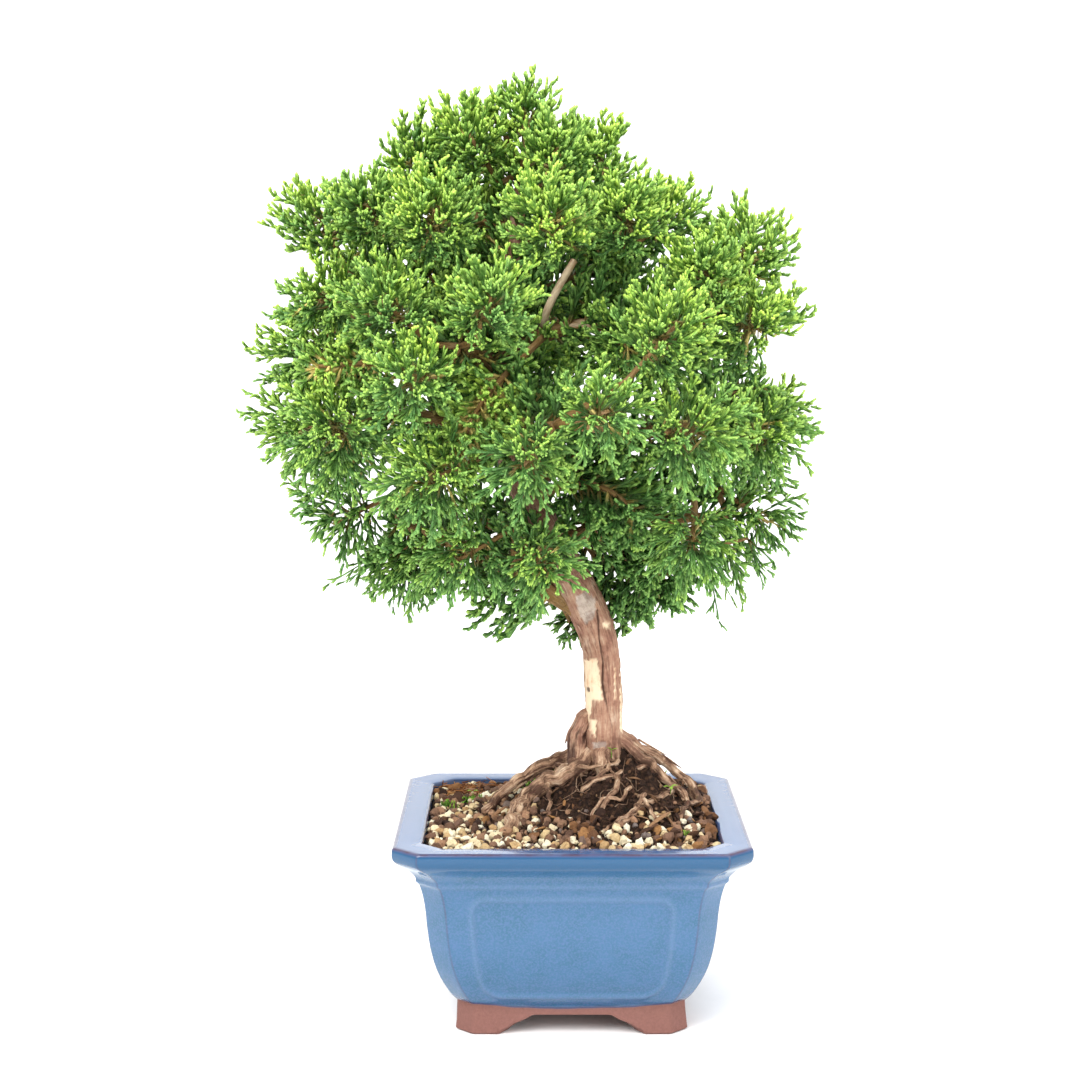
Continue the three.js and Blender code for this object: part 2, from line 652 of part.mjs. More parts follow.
function stretchDistance(p1, q1, p2, q2) {
  const d1 = q1.clone().sub(p1);
  const d2 = q2.clone().sub(p2);
  const r = p1.clone().sub(p2);
  const a = d1.dot(d1);
  const e = d2.dot(d2);
  const f = d2.dot(r);
  const c = d1.dot(r);
  const b = d1.dot(d2);
  const spread = a * e - b * b;
  let s = spread > PARALLEL ? THREE.MathUtils.clamp((b * f - c * e) / spread, 0, 1) : 0;
  let t = (b * s + f) / e;
  if (t < 0) {
    t = 0;
    s = THREE.MathUtils.clamp(-c / a, 0, 1);
  } else if (t > 1) {
    t = 1;
    s = THREE.MathUtils.clamp((b - c) / a, 0, 1);
  }
  const onFirst = p1.clone().addScaledVector(d1, s);
  const onSecond = p2.clone().addScaledVector(d2, t);
  return onFirst.distanceTo(onSecond);
}

// The dense middle of a spray, a short barrel along its axis
function coreRings(spray) {
  const { middle, axis, across, third, reach, stemEnd, tier } = spray;
  const ringAt = (centre, radius, turn) => {
    const ring = [];
    for (let s = 0; s < CORE_SIDES; s += 1) {
      const angle = (s / CORE_SIDES) * Math.PI * 2 + turn;
      ring.push(centre.clone()
        .addScaledVector(across, Math.cos(angle) * radius)
        .addScaledVector(third, Math.sin(angle) * radius));
    }
    return ring;
  };
  const rings = [ringAt(stemEnd, TWIG_RADIUS, 0)];
  CORE_PROFILE.forEach(([along, radius], i) => {
    const centre = middle.clone().addScaledVector(axis, along * reach);
    rings.push(ringAt(centre, radius * reach * CORE_REACH[tier], i * CORE_TWIST));
  });
  return rings;
}

// What stands in the way of a shoot: [from, to, radius, owner]
function fixedObstacles(sprays) {
  const obstacles = [];
  const addRow = (places, owner) => {
    const rings = limbRings(places, ROUGH_SIDES, ROUGH_STEPS);
    const middles = rings.map((ring) => {
      const sum = ring.reduce((total, point) => total.add(point), vec(0, 0, 0));
      return sum.divideScalar(ROUGH_SIDES);
    });
    for (let i = 1; i < middles.length; i += 1) {
      const span = Math.min(Math.floor((i - 1) / ROUGH_STEPS), places.length - 2);
      const radius = Math.max(places[span][3], places[span + 1][3]) * LIMB_CLEARANCE;
      obstacles.push([middles[i - 1], middles[i], radius, owner]);
    }
  };
  addRow(TRUNK, 'wood');
  Object.values(LIMBS).forEach((places) => addRow(places, 'wood'));
  sprays.forEach((spray) => {
    addRow(twigPlaces(spray), `twig of ${spray.name}`);
    const low = spray.middle.clone().addScaledVector(spray.axis, spray.reach * CORE_LOW);
    const high = spray.middle.clone().addScaledVector(spray.axis, spray.reach * CORE_HIGH);
    const radius = spray.reach * CORE_GIRTH * CORE_REACH[spray.tier];
    obstacles.push([spray.stemEnd, low, radius * CORE_LOW_GIRTH, spray.name]);
    obstacles.push([low, high, radius, spray.name]);
  });
  return obstacles;
}

// One shoot: a slim three-sided point from just inside the core to the spray's outline
function shootSolid(from, to) {
  const length = from.distanceTo(to);
  const cone = new THREE.ConeGeometry(SHOOT_RADIUS, length, 3);
  cone.translate(0, length / 2, 0);
  const heading = to.clone().sub(from).normalize();
  cone.applyQuaternion(new THREE.Quaternion().setFromUnitVectors(vec(0, 1, 0), heading));
  cone.translate(from.x, from.y, from.z);
  return solidFrom(cone);
}

// Shoots on every side of each spray, each where it keeps clear of all that stands already
function placeShoots(sprays) {
  const obstacles = fixedObstacles(sprays);
  const draw = seededDraw(SHOOT_SEED);
  for (const spray of sprays) {
    const {
      middle, axis, across, third, reach, tier, name,
    } = spray;
    const others = obstacles.filter((item) => item[3] !== name
      && item[0].distanceTo(middle) < reach * NEIGHBOUR_REACH + item[2] + NEIGHBOUR_MARGIN);
    for (let i = 0; i < SHOOTS_PER_SPRAY; i += 1) {
      const level = 1 - (LAST_LEVEL * (i + FIRST_SHOOT_STEP)) / SHOOTS_PER_SPRAY;
      for (let attempt = 0; attempt < TRIES_PER_SHOOT; attempt += 1) {
        const wander = attempt * WANDER_PER_TRY;
        const wanted = level + (draw() - 0.5) * (LEVEL_WANDER + wander);
        const cosine = THREE.MathUtils.clamp(wanted, LOWEST_COSINE, 1);
        const sine = Math.sqrt(1 - cosine * cosine);
        const turnWander = (draw() - 0.5) * (TURN_WANDER + wander * TURN_WANDER_SHARE);
        const turn = i * GOLDEN_TURN + turnWander;
        const heading = axis.clone().multiplyScalar(cosine)
          .addScaledVector(across, Math.cos(turn) * sine)
          .addScaledVector(third, Math.sin(turn) * sine);
        const share = SHORTEST_SHOOT + SHOOT_LENGTH_RANGE * draw();
        const length = reach * share * (1 - attempt * SHORTER_PER_TRY);
        const to = middle.clone().addScaledVector(heading, length);
        if ((tier === 'hanging' || tier === 'lower') && to.z < middle.z) {
          to.z = middle.z + (to.z - middle.z) * HANG_STRETCH;
        }
        const rootMiddle = middle.clone().addScaledVector(axis, cosine * ROOT_SPREAD * reach);
        const from = rootMiddle.clone().lerp(to, ROOT_DEPTH * CORE_REACH[tier]);
        const blocked = others.some(([start, end, girth]) => {
          const apart = stretchDistance(from, to, start, end);
          return apart < girth + SHOOT_RADIUS + FIT_GAP;
        });
        if (!blocked) {
          spray.shoots.push([from, to]);
          break;
        }
      }
    }
    for (const [from, to] of spray.shoots) {
      obstacles.push([from, to, SHOOT_RADIUS, name]);
    }
  }
}

// A spray's core with its shoots
function makeSpray(spray) {
  let solid = solidFrom(skinOver(coreRings(spray)));
  for (const [from, to] of spray.shoots) {
    solid = solid.add(shootSolid(from, to));
  }
  return withoutScraps(solid);
}

// Putting the bonsai together
const bonsai = new THREE.Group();
bonsai.add(named('pot', geometryFrom(makePot()), 0x5b93c4, 0.2));
bonsai.add(named('drainage_screen', geometryFrom(makeScreen()), 0x2b2b2b, 0.6));
bonsai.add(named('soil', geometryFrom(makeSoil()), 0x6b4a35, 0.95));
const sprays = laySprays();
placeShoots(sprays);
bonsai.add(named('tree_wood', geometryFrom(makeWood(sprays)), 0x8a6b58, 0.85));
const LEAF_COLORS = {
  crown: 0x6fae35, upper: 0x5f9f34, middle: 0x4c8a31, lower: 0x44802f, hanging: 0x3c7330,
};
for (const spray of sprays) {
  bonsai.add(named(spray.name, geometryFrom(makeSpray(spray)), LEAF_COLORS[spray.tier], 0.6));
}

const box = new THREE.Box3().setFromObject(bonsai);
const centre = box.getCenter(vec(0, 0, 0));
bonsai.position.set(-centre.x, -centre.y, -box.min.z);
bonsai.updateMatrixWorld(true);

export default bonsai;
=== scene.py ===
# A kishu juniper bonsai in a square glazed pot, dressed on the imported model, which is the frame.
# Metres, +Z up. The making is done in millimetres from the middle of the pot's footprint.
import math

import bpy
import numpy as np
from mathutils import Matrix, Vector


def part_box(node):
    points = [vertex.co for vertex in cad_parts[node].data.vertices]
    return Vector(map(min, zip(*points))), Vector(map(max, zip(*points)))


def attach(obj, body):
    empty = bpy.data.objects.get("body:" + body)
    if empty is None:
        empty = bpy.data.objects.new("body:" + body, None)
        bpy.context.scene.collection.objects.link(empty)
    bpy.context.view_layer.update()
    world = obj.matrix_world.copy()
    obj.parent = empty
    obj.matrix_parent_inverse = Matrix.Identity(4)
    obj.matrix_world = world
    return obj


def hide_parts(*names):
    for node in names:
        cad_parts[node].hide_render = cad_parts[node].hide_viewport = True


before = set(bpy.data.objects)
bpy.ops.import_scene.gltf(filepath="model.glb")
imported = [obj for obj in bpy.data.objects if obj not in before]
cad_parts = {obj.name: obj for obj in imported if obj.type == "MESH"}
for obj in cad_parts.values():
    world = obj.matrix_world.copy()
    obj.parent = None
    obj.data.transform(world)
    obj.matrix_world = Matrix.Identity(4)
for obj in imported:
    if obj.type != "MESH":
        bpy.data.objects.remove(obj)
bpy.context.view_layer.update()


# The pot
# One fired body of brown stoneware: a lip, a swelling belly with a thin raised frame on each side,
# and a bracket foot at each corner. It is glazed blue down to just above the feet, which stay bare.
pot_low, pot_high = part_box("pot")
POT_MIDDLE = np.array([(pot_low.x + pot_high.x) / 2, (pot_low.y + pot_high.y) / 2, 0.0])
MM = 0.001
POT_HALF = (pot_high.x - pot_low.x) / 2 / MM
LIP_WIDTH = 12.5
CORNER_CUT = 0.145
CORNER_SOFT = 2.6
FOOT_TOP = 12.4
FOOT_INSIDE = 42.0
FOOT_EDGE = 0.8
UNDERSIDE = 8.8
FLOOR_TOP = 14.0
DRAIN_RADIUS = 9.0
# Half widths and heights up the outside, from the top of the foot to the side of the lip
WALL_LINE = [
    (48.4, 12.4), (50.1, 14.3), (54.1, 20.8), (57.3, 28.2), (59.7, 37.5), (61.0, 46.6), (62.1, 57.6),
    (63.3, 63.8), (64.4, 67.3), (66.3, 71.2), (69.3, 74.6), (72.6, 77.2), (74.3, 78.9), (75.0, 80.8),
    (75.0, 83.6),
]
WELL_LINE = [(61.6, 78.0), (58.8, 67.0), (57.2, 58.0), (54.2, 37.0), (51.0, 27.0), (46.5, 19.5)]
# Distance from a side's middle and height of the bracket-shaped arch between two feet
ARCH_LINE = [
    (0.0, 8.6), (14.9, 8.6), (16.8, 8.3), (19.5, 6.6), (24.3, 4.6), (27.2, 2.6), (29.2, 1.6), (30.7, 0.0),
]
# The foot's outside: its half width near the ground, then by its share of the way up
FOOT_OUTSIDE = 49.5
FOOT_TAPER = [(0.25, 49.2), (0.5, 48.9), (0.75, 48.6)]
FLOOR_HALF = 42.0
DRAIN_EDGE = 0.8
BEAD_HEIGHT = 68.6
BEAD_OUT = 0.65
BEAD_WIDTH = 1.0
FRAME_SPAN = 0.68
FRAME_FOOT = 17.5
FRAME_TOP = 62.5
FRAME_CORNER = 7.0
FRAME_RIDGE = 0.7
FRAME_RIDGE_WIDTH = 1.25
FRAME_SUNK = 0.35
FRAME_SLOPE = 1.5
BEND_STEPS = 5
EDGE_WEAR = 0.4


def mesh_object(name, points, face_groups, marks=None, smooth=True):
    """An object from points in millimetres and arrays of faces, with named point values or vectors."""
    mesh = bpy.data.meshes.new(name)
    corners = np.concatenate([group.ravel() for group in face_groups]).astype(np.int32)
    sizes = np.concatenate([np.full(len(group), group.shape[1]) for group in face_groups])
    starts = np.concatenate([[0], np.cumsum(sizes)[:-1]]).astype(np.int32)
    placed = np.asarray(points) * MM + POT_MIDDLE
    mesh.vertices.add(len(placed))
    mesh.vertices.foreach_set("co", placed.astype(np.float32).ravel())
    mesh.loops.add(len(corners))
    mesh.loops.foreach_set("vertex_index", corners)
    mesh.polygons.add(len(sizes))
    mesh.polygons.foreach_set("loop_start", starts)
    mesh.polygons.foreach_set("use_smooth", np.full(len(sizes), smooth))
    mesh.update(calc_edges=True)
    for mark, values in (marks or {}).items():
        values = np.asarray(values, dtype=np.float32)
        kind, key = ("FLOAT", "value") if values.ndim == 1 else ("FLOAT_VECTOR", "vector")
        mesh.attributes.new(mark, kind, "POINT").data.foreach_set(key, values.ravel())
    made = bpy.data.objects.new(name, mesh)
    bpy.context.scene.collection.objects.link(made)
    return made


def ring_faces(rows, around, closed_rows):
    """Quads over a stack of rings that each hold the same number of points."""
    row = np.arange(rows if closed_rows else rows - 1)[:, None]
    place = np.arange(around)[None, :]
    above = (row + 1) % rows
    beside = (place + 1) % around
    corners = np.broadcast_arrays(
        row * around + place, row * around + beside, above * around + beside, above * around + place)
    return np.stack(corners, axis=-1).reshape(-1, 4)


def paint(red, green, blue):
    """A colour given as it looks on a screen, 0 to 255, turned into the linear one a shader takes."""
    linear = [((c / 255 + 0.055) / 1.055) ** 2.4 if c > 10 else c / 255 / 12.92 for c in (red, green, blue)]
    return (*linear, 1.0)


def new_finish(name):
    """A fresh material with its node tree and its shader."""
    finish = bpy.data.materials.new(name)
    finish.use_nodes = True
    return finish, finish.node_tree, finish.node_tree.nodes["Principled BSDF"]


def wire(tree, kind, inputs=None, out=0, **settings):
    """One shader node with its settings and inputs. Returns the output asked for."""
    made = tree.nodes.new("ShaderNode" + kind)
    for key, value in settings.items():
        setattr(made, key, value)
    for key, value in (inputs or {}).items():
        if isinstance(value, bpy.types.NodeSocket):
            tree.links.new(value, made.inputs[key])
        else:
            made.inputs[key].default_value = value
    return made.outputs[out]


def mark(tree, name, out=2):
    """A value that the mesh's points carry."""
    return wire(tree, "Attribute", out=out, attribute_name=name)


def mottling(tree, where, scale, detail=2.0, roughness=0.5):
    """Cloudy noise, finer at a larger scale."""
    settings = {"Vector": where, "Scale": scale, "Detail": detail, "Roughness": roughness}
    return wire(tree, "TexNoise", settings)


def fade(tree, value, start, stop):
    """A share that runs from 0 at the start to 1 at the stop."""
    return wire(tree, "MapRange", {"Value": value, "From Min": start, "From Max": stop})


def ramp(tree, factor, stops):
    """A colour ramp through stops of (place, colour)."""
    made = tree.nodes.new("ShaderNodeValToRGB")
    band = made.color_ramp
    while len(band.elements) < len(stops):
        band.elements.new(1.0)
    for element, (place, colour) in zip(band.elements, stops):
        element.position = place
        element.color = colour
    tree.links.new(factor, made.inputs["Fac"])
    return made.outputs["Color"]


def blend_colours(tree, share, first, second, way="MIX"):
    """Two colours mixed by a share. Each may be a colour or another node's output."""
    return wire(tree, "Mix", {0: share, 6: first, 7: second}, out=2, data_type="RGBA", blend_type=way)


def sums(tree, way, first, second=0.0, third=0.0):
    """One arithmetic node."""
    return wire(tree, "Math", {0: first, 1: second, 2: third}, operation=way)


def tinge(tree, where, most, ground, colour):
    """A ground colour with another laid over it where a mark says, at most by the share given."""
    return blend_colours(tree, sums(tree, "MULTIPLY", where, most), ground, colour)


def coat(tree, shader, colour, roughness, gloss=0.5):
    """Gives the shader its colour, how rough it is and how much it reflects."""
    tree.links.new(colour, shader.inputs["Base Color"])
    shader.inputs["Roughness"].default_value = roughness
    shader.inputs["Specular IOR Level"].default_value = gloss


def raised(tree, shader, height, distance, strength=1.0):
    """Turns a height into a bump on the shader."""
    bump = wire(tree, "Bump", {"Height": height, "Distance": distance, "Strength": strength})
    tree.links.new(bump, shader.inputs["Normal"])


def steps_between(start, stop, gap):
    return np.linspace(start, stop, max(2, round((stop - start) / gap) + 1))


# Where the points stand along one side, as shares of its flat half: close together at the foot's arch
# and at the upright lines of the frame
half_side = np.concatenate([
    steps_between(0.0, 0.36, 0.09)[:-1], steps_between(0.36, 0.74, 0.024)[:-1],
    steps_between(0.74, 0.86, 0.013)[:-1], steps_between(0.86, 1.0, 0.035),
])
SIDE_STEPS = np.concatenate([-half_side[::-1], half_side[1:]])


def cut_square(half):
    """Points round a square with cut and softened corners, counter-clockwise from the front left."""
    soft = CORNER_SOFT
    flat = half * (1 - CORNER_CUT)
    trim = soft * math.tan(math.pi / 8)
    side = [(share * (flat - trim), -half) for share in SIDE_STEPS]
    for step in range(1, BEND_STEPS + 1):
        turn = step / BEND_STEPS * math.pi / 4
        side.append((flat - trim + soft * math.sin(turn), -half + soft - soft * math.cos(turn)))
    for step in range(BEND_STEPS):
        turn = math.pi / 4 + step / BEND_STEPS * math.pi / 4
        side.append((half - soft + soft * math.sin(turn), -flat + trim - soft * math.cos(turn)))
    side = np.array(side)
    quarter = np.array([[0.0, 1.0], [-1.0, 0.0]])
    turned = [side]
    for _ in range(3):
        turned.append(turned[-1] @ quarter)
    return np.concatenate(turned)


def frame_lift(along, height, half):
    """How far the wall stands out: a thin rounded frame, with the panel inside it slightly sunk."""
    middle_half = FRAME_SPAN * half
    across = np.abs(along) - middle_half + FRAME_CORNER
    upright = abs(height - (FRAME_FOOT + FRAME_TOP) / 2) - (FRAME_TOP - FRAME_FOOT) / 2 + FRAME_CORNER
    outside = np.hypot(np.maximum(across, 0), max(upright, 0))
    away = outside + np.minimum(np.maximum(across, upright), 0) - FRAME_CORNER
    ridge = np.exp(-(away / FRAME_RIDGE_WIDTH) ** 2)
    return FRAME_RIDGE * ridge - FRAME_SUNK * np.clip(-away / FRAME_SLOPE, 0, 1), ridge


wall_heights = np.concatenate([
    [12.4, 13.4, 14.4], steps_between(15.4, 26.0, 0.95), steps_between(28.5, 52.0, 3.4),
    steps_between(54.0, 64.6, 0.95), steps_between(65.6, 72.0, 0.7), steps_between(73.0, 83.6, 0.75),
])
wall_half, wall_z = np.array(WALL_LINE).T


def smooth_interp(place, places, values):
    """A curve through the given values with no corners in it."""
    slopes = np.gradient(values, places)
    index = np.clip(np.searchsorted(places, place) - 1, 0, len(places) - 2)
    width = places[index + 1] - places[index]
    t = (place - places[index]) / width
    start, stop = values[index], values[index + 1]
    lead, trail = slopes[index] * width, slopes[index + 1] * width
    return (start * (2 * t ** 3 - 3 * t ** 2 + 1) + lead * (t ** 3 - 2 * t ** 2 + t)
            + stop * (3 * t ** 2 - 2 * t ** 3) + trail * (t ** 3 - t ** 2))


pot_rows = []
rim_marks = []
crest_marks = []


def lay_ring(ring, height, rim=0.0, crest=0.0):
    """One row of the pot's skin, with how far its edge is worn and how far its moulding stands out."""
    pot_rows.append(np.column_stack([ring, np.broadcast_to(height, len(ring))]))
    rim_marks.append(np.broadcast_to(rim, len(ring)))
    crest_marks.append(np.broadcast_to(crest, len(ring)))


def lay_row(half, height, rim=0.0):
    lay_ring(cut_square(half), height, rim)


foot_ring = cut_square(WALL_LINE[0][0])
arch_x, arch_z = np.array(ARCH_LINE).T
foot_bottom = np.interp(np.min(np.abs(foot_ring), axis=1), arch_x, arch_z)
foot_face = FOOT_TOP - foot_bottom
lay_row(FOOT_OUTSIDE - FOOT_EDGE, foot_bottom)
lay_row(FOOT_OUTSIDE, foot_bottom + FOOT_EDGE * foot_face / FOOT_TOP)
for share, half in FOOT_TAPER:
    lay_row(half, foot_bottom + share * foot_face)

# The wall: each side carries the bead and the frame, and the middles of the corners' bends are worn
side_length = len(foot_ring) // 4
ring_sides = np.arange(len(foot_ring)) // side_length
place_in_side = np.arange(len(foot_ring)) % side_length - len(SIDE_STEPS)
bend_middles = (1, 2, BEND_STEPS + 2, BEND_STEPS + 3)
edge_worn = np.where(np.isin(place_in_side, bend_middles), EDGE_WEAR, 0.0)
outward = np.array([(0, -1), (1, 0), (0, 1), (-1, 0)])[ring_sides]
for height in wall_heights:
    half = float(smooth_interp(height, wall_z, wall_half))
    bead = math.exp(-((height - BEAD_HEIGHT) / BEAD_WIDTH) ** 2)
    half += BEAD_OUT * bead
    ring = cut_square(half)
    along = np.where(ring_sides % 2 == 0, ring[:, 0], ring[:, 1])
    level = np.where(ring_sides % 2 == 0, np.abs(ring[:, 1]), np.abs(ring[:, 0]))
    on_flat = np.abs(level - half) < 0.01
    lift, crest = (np.where(on_flat, value, 0.0) for value in frame_lift(along, height, half))
    lay_ring(ring + outward * lift[:, None], height, edge_worn, np.maximum(crest, bead))

# The lip's rounded outer edge, its flat top and its inner edge: half width, height and wear
inner_half = POT_HALF - LIP_WIDTH
LIP_ROWS = [
    (74.8, 84.3, 0.5), (74.4, 84.75, 1.0), (73.7, 85.0, 0.7), (72.6, 85.0, 0.1), (68.0, 84.8, 0.0),
    (inner_half + 1.4, 84.7, 0.0), (inner_half + 0.5, 84.4, 0.5), (inner_half, 83.6, 0.6),
    (inner_half - 0.2, 82.0, 0.0),
]
for half, height, wear in LIP_ROWS:
    lay_row(half, height, wear)

# The well, its floor, the drain hole and the hollow under the floor, down to the feet
for half, height in WELL_LINE:
    lay_row(half, height)
lay_row(FLOOR_HALF, FLOOR_TOP)
plain_ring = cut_square(FOOT_INSIDE)
plain_turns = np.arctan2(plain_ring[:, 1], plain_ring[:, 0])
plain_circle = np.column_stack([np.cos(plain_turns), np.sin(plain_turns)])
DRAIN_LINE = [
    (DRAIN_RADIUS + DRAIN_EDGE, FLOOR_TOP), (DRAIN_RADIUS, FLOOR_TOP - DRAIN_EDGE),
    (DRAIN_RADIUS, UNDERSIDE + DRAIN_EDGE), (DRAIN_RADIUS + DRAIN_EDGE, UNDERSIDE),
]
for radius, height in DRAIN_LINE:
    lay_ring(plain_circle * radius, height)
lay_row(FOOT_INSIDE - 0.6, UNDERSIDE)
lay_row(FOOT_INSIDE, UNDERSIDE - 0.1)
lay_row(FOOT_INSIDE, foot_bottom + FOOT_EDGE * (UNDERSIDE - foot_bottom) / UNDERSIDE)
lay_row(FOOT_INSIDE + FOOT_EDGE, foot_bottom)
pot_faces = ring_faces(len(pot_rows), len(plain_ring), closed_rows=True)
pot_marks = {"rim_line": np.concatenate(rim_marks), "crest": np.concatenate(crest_marks)}
pot = mesh_object("pot_fired_body", np.concatenate(pot_rows), [pot_faces], pot_marks)
pot.data.set_sharp_from_angle(angle=math.radians(50))

# The blue glaze, thin and brown where it breaks over the lip's edge, and the bare clay below it
GLAZE_BLUE = paint(52, 94, 128)
GLAZE_TEAL = paint(42, 88, 116)
GLAZE_VIOLET = paint(68, 98, 138)
GLAZE_PALE = paint(120, 140, 172)
GLAZE_BREAK = paint(66, 44, 66)
LIP_TEAL = paint(8, 68, 106)
LIP_TOP_HIGHLIGHT = paint(72, 100, 144)
CLAY = paint(138, 94, 84)
CLAY_DARK = paint(96, 60, 52)
BLACK = (0, 0, 0, 1)
WHITE = (1, 1, 1, 1)
LEAST_WORN = (0.6, 0.6, 0.6, 1)
SPECKLED_SHARE = 0.8
CREST_SHARE = 0.14
LIP_SHARE = 0.9
LOWER_LINE_SHARE = 0.75
# Heights in metres over which the lip's side takes on its own colour and its top a painted highlight
LIP_SIDE_FROM_TO = (0.0745, 0.0795)
LIP_TOP_HIGHLIGHT_FROM_TO = (0.0838, 0.0848)
# The glaze's lower line: its height at a side's middle and how far it rises to the corners, in
# millimetres, then in metres how far off the rise is reached and how far the line wanders
GLAZE_LINE_MIDDLE = 10.4
GLAZE_LINE_RISE = 2.7
GLAZE_LINE_REACH = 0.045
GLAZE_LINE_WANDER = 0.0012
CLAY_ROUGHNESS = 0.85
GLAZE_ROUGHNESS = 0.09
glaze, tree, shader = new_finish("blue_glaze_over_bare_clay")
where = wire(tree, "TexCoord", out=3)
centred = wire(tree, "Mapping", {"Vector": where, "Location": tuple(-POT_MIDDLE)})
apart = tree.nodes.new("ShaderNodeSeparateXYZ")
tree.links.new(centred, apart.inputs[0])
speckle = mottling(tree, centred, 1150.0, 3.0, 0.6)
cloud = mottling(tree, centred, 90.0, 4.0, 0.6)
clouded = ramp(tree, cloud, [(0.35, BLACK), (0.65, WHITE)])
blue = blend_colours(tree, clouded, GLAZE_BLUE, GLAZE_TEAL)
speckled = ramp(tree, speckle, [(0.42, BLACK), (0.62, WHITE)])
blue = tinge(tree, speckled, SPECKLED_SHARE, blue, GLAZE_VIOLET)
blue = tinge(tree, mark(tree, "crest"), CREST_SHARE, blue, GLAZE_PALE)
on_lip = fade(tree, apart.outputs[2], *LIP_SIDE_FROM_TO)
blue = tinge(tree, on_lip, LIP_SHARE, blue, LIP_TEAL)
# The lip's top is painted lighter and more violet than its side, a painted highlight where it faces the
# light from above
painted_top_highlight = fade(tree, apart.outputs[2], *LIP_TOP_HIGHLIGHT_FROM_TO)
blue = tinge(tree, painted_top_highlight, LIP_SHARE, blue, LIP_TOP_HIGHLIGHT)
rim_line = mark(tree, "rim_line")
patchy = mottling(tree, centred, 160.0)
worn = sums(tree, "MULTIPLY", rim_line, ramp(tree, patchy, [(0.3, LEAST_WORN), (0.6, WHITE)]))
blue = blend_colours(tree, worn, blue, GLAZE_BREAK)
off_middle = sums(tree, "ABSOLUTE", apart.outputs[0])
off_front = sums(tree, "ABSOLUTE", apart.outputs[1])
along = sums(tree, "MINIMUM", off_middle, off_front)
bow = sums(tree, "POWER", sums(tree, "DIVIDE", along, GLAZE_LINE_REACH), 2.0)
wobble = mottling(tree, centred, 60.0)
edge = sums(tree, "MULTIPLY_ADD", bow, GLAZE_LINE_RISE * MM, GLAZE_LINE_MIDDLE * MM)
edge = sums(tree, "MULTIPLY_ADD", wobble, GLAZE_LINE_WANDER, edge)
above = sums(tree, "SUBTRACT", apart.outputs[2], edge)
glazed = fade(tree, above, -0.0002, 0.0002)
lower_line = fade(tree, above, 0.0014, 0.0002)
blue = tinge(tree, lower_line, LOWER_LINE_SHARE, blue, GLAZE_BREAK)
gritty = mottling(tree, centred, 900.0, 5.0, 0.7)
bare = blend_colours(tree, gritty, CLAY, CLAY_DARK)
tree.links.new(blend_colours(tree, glazed, bare, blue), shader.inputs["Base Color"])
gloss = wire(tree, "MapRange", {"Value": glazed, "To Min": CLAY_ROUGHNESS, "To Max": GLAZE_ROUGHNESS})
tree.links.new(gloss, shader.inputs["Roughness"])
skin = sums(tree, "MULTIPLY", gritty, sums(tree, "SUBTRACT", 1.0, glazed))
raised(tree, shader, sums(tree, "MULTIPLY_ADD", cloud, 0.6, skin), 0.0004, 0.5)
pot.data.materials.append(glaze)
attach(pot, "root")
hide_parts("pot")


# The drainage screen
# A small square of black moulded mesh that lies over the drain hole and keeps the soil in. It is the
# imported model's own piece, with the dull sheen and faint flow marks of moulded plastic.
SCREEN_BLACK = paint(24, 24, 25)
SCREEN_SCUFFED = paint(44, 44, 46)
screen_plastic, tree, shader = new_finish("black_screen_plastic")
where = wire(tree, "TexCoord", out=3)
flow = mottling(tree, where, 700.0, 3.0)
coat(tree, shader, ramp(tree, flow, [(0.3, SCREEN_BLACK), (0.7, SCREEN_SCUFFED)]), 0.55)
raised(tree, shader, flow, 0.0001, 0.4)
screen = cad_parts["drainage_screen"]
screen.data.materials.clear()
screen.data.materials.append(screen_plastic)


# The soil
# A dark peaty bed that fills the pot and mounds up to the roots. On it lie loose grains: pale pumice,
# most of it to the left and the front, red-brown clay grains, dark bark chips and fine crumbs.
SOIL_EDGE = 82.3
MOUND_RISE = 27.0
MOUND_SPREAD = 26.0
MOUND_TOP = (16.0, 8.0)
EARTH_HEAP = 6.5
HEAP_MIDDLE = (25.0, -1.0)
HEAP_SPREAD = 9.0
MOUND_ROUGHNESS = 1.2
LUMP_RISE = 0.6
CLOD_RISE = 0.4
CROSSING_WAVES = 7
GRAIN_ROOM = 1.1
BED_STATIONS = 120
BED_RINGS = 60
SOIL_GAP = 0.4


def swell(x, y, middle, spread):
    """A round swelling of the ground: 1 at its middle, falling away to nothing."""
    away = (x - middle[0]) ** 2 + (y - middle[1]) ** 2
    return np.exp(-away / (2 * spread ** 2))


def waves(x, y, seed, wavelength):
    """Smooth uneven ground: a few crossing waves, about -1 to 1."""
    draw = np.random.default_rng(seed)
    total = np.zeros(np.shape(x))
    for _ in range(CROSSING_WAVES):
        turn = draw.uniform(0, 2 * math.pi)
        pitch = 2 * math.pi / (wavelength * draw.uniform(0.6, 1.5))
        total += np.sin((x * math.cos(turn) + y * math.sin(turn)) * pitch + draw.uniform(0, 6.3))
    return total / math.sqrt(CROSSING_WAVES)


def soil_top(x, y):
    """The bed's surface: the mound, earth heaped against the trunk on its right, and rough ground."""
    mound = swell(x, y, MOUND_TOP, MOUND_SPREAD)
    heap = EARTH_HEAP * swell(x, y, HEAP_MIDDLE, HEAP_SPREAD)
    rough = 1 + MOUND_ROUGHNESS * mound
    lumps = LUMP_RISE * waves(x, y, 3, 9.0) + CLOD_RISE * waves(x, y, 4, 3.4)
    return SOIL_EDGE + MOUND_RISE * mound - GRAIN_ROOM + heap + rough * lumps


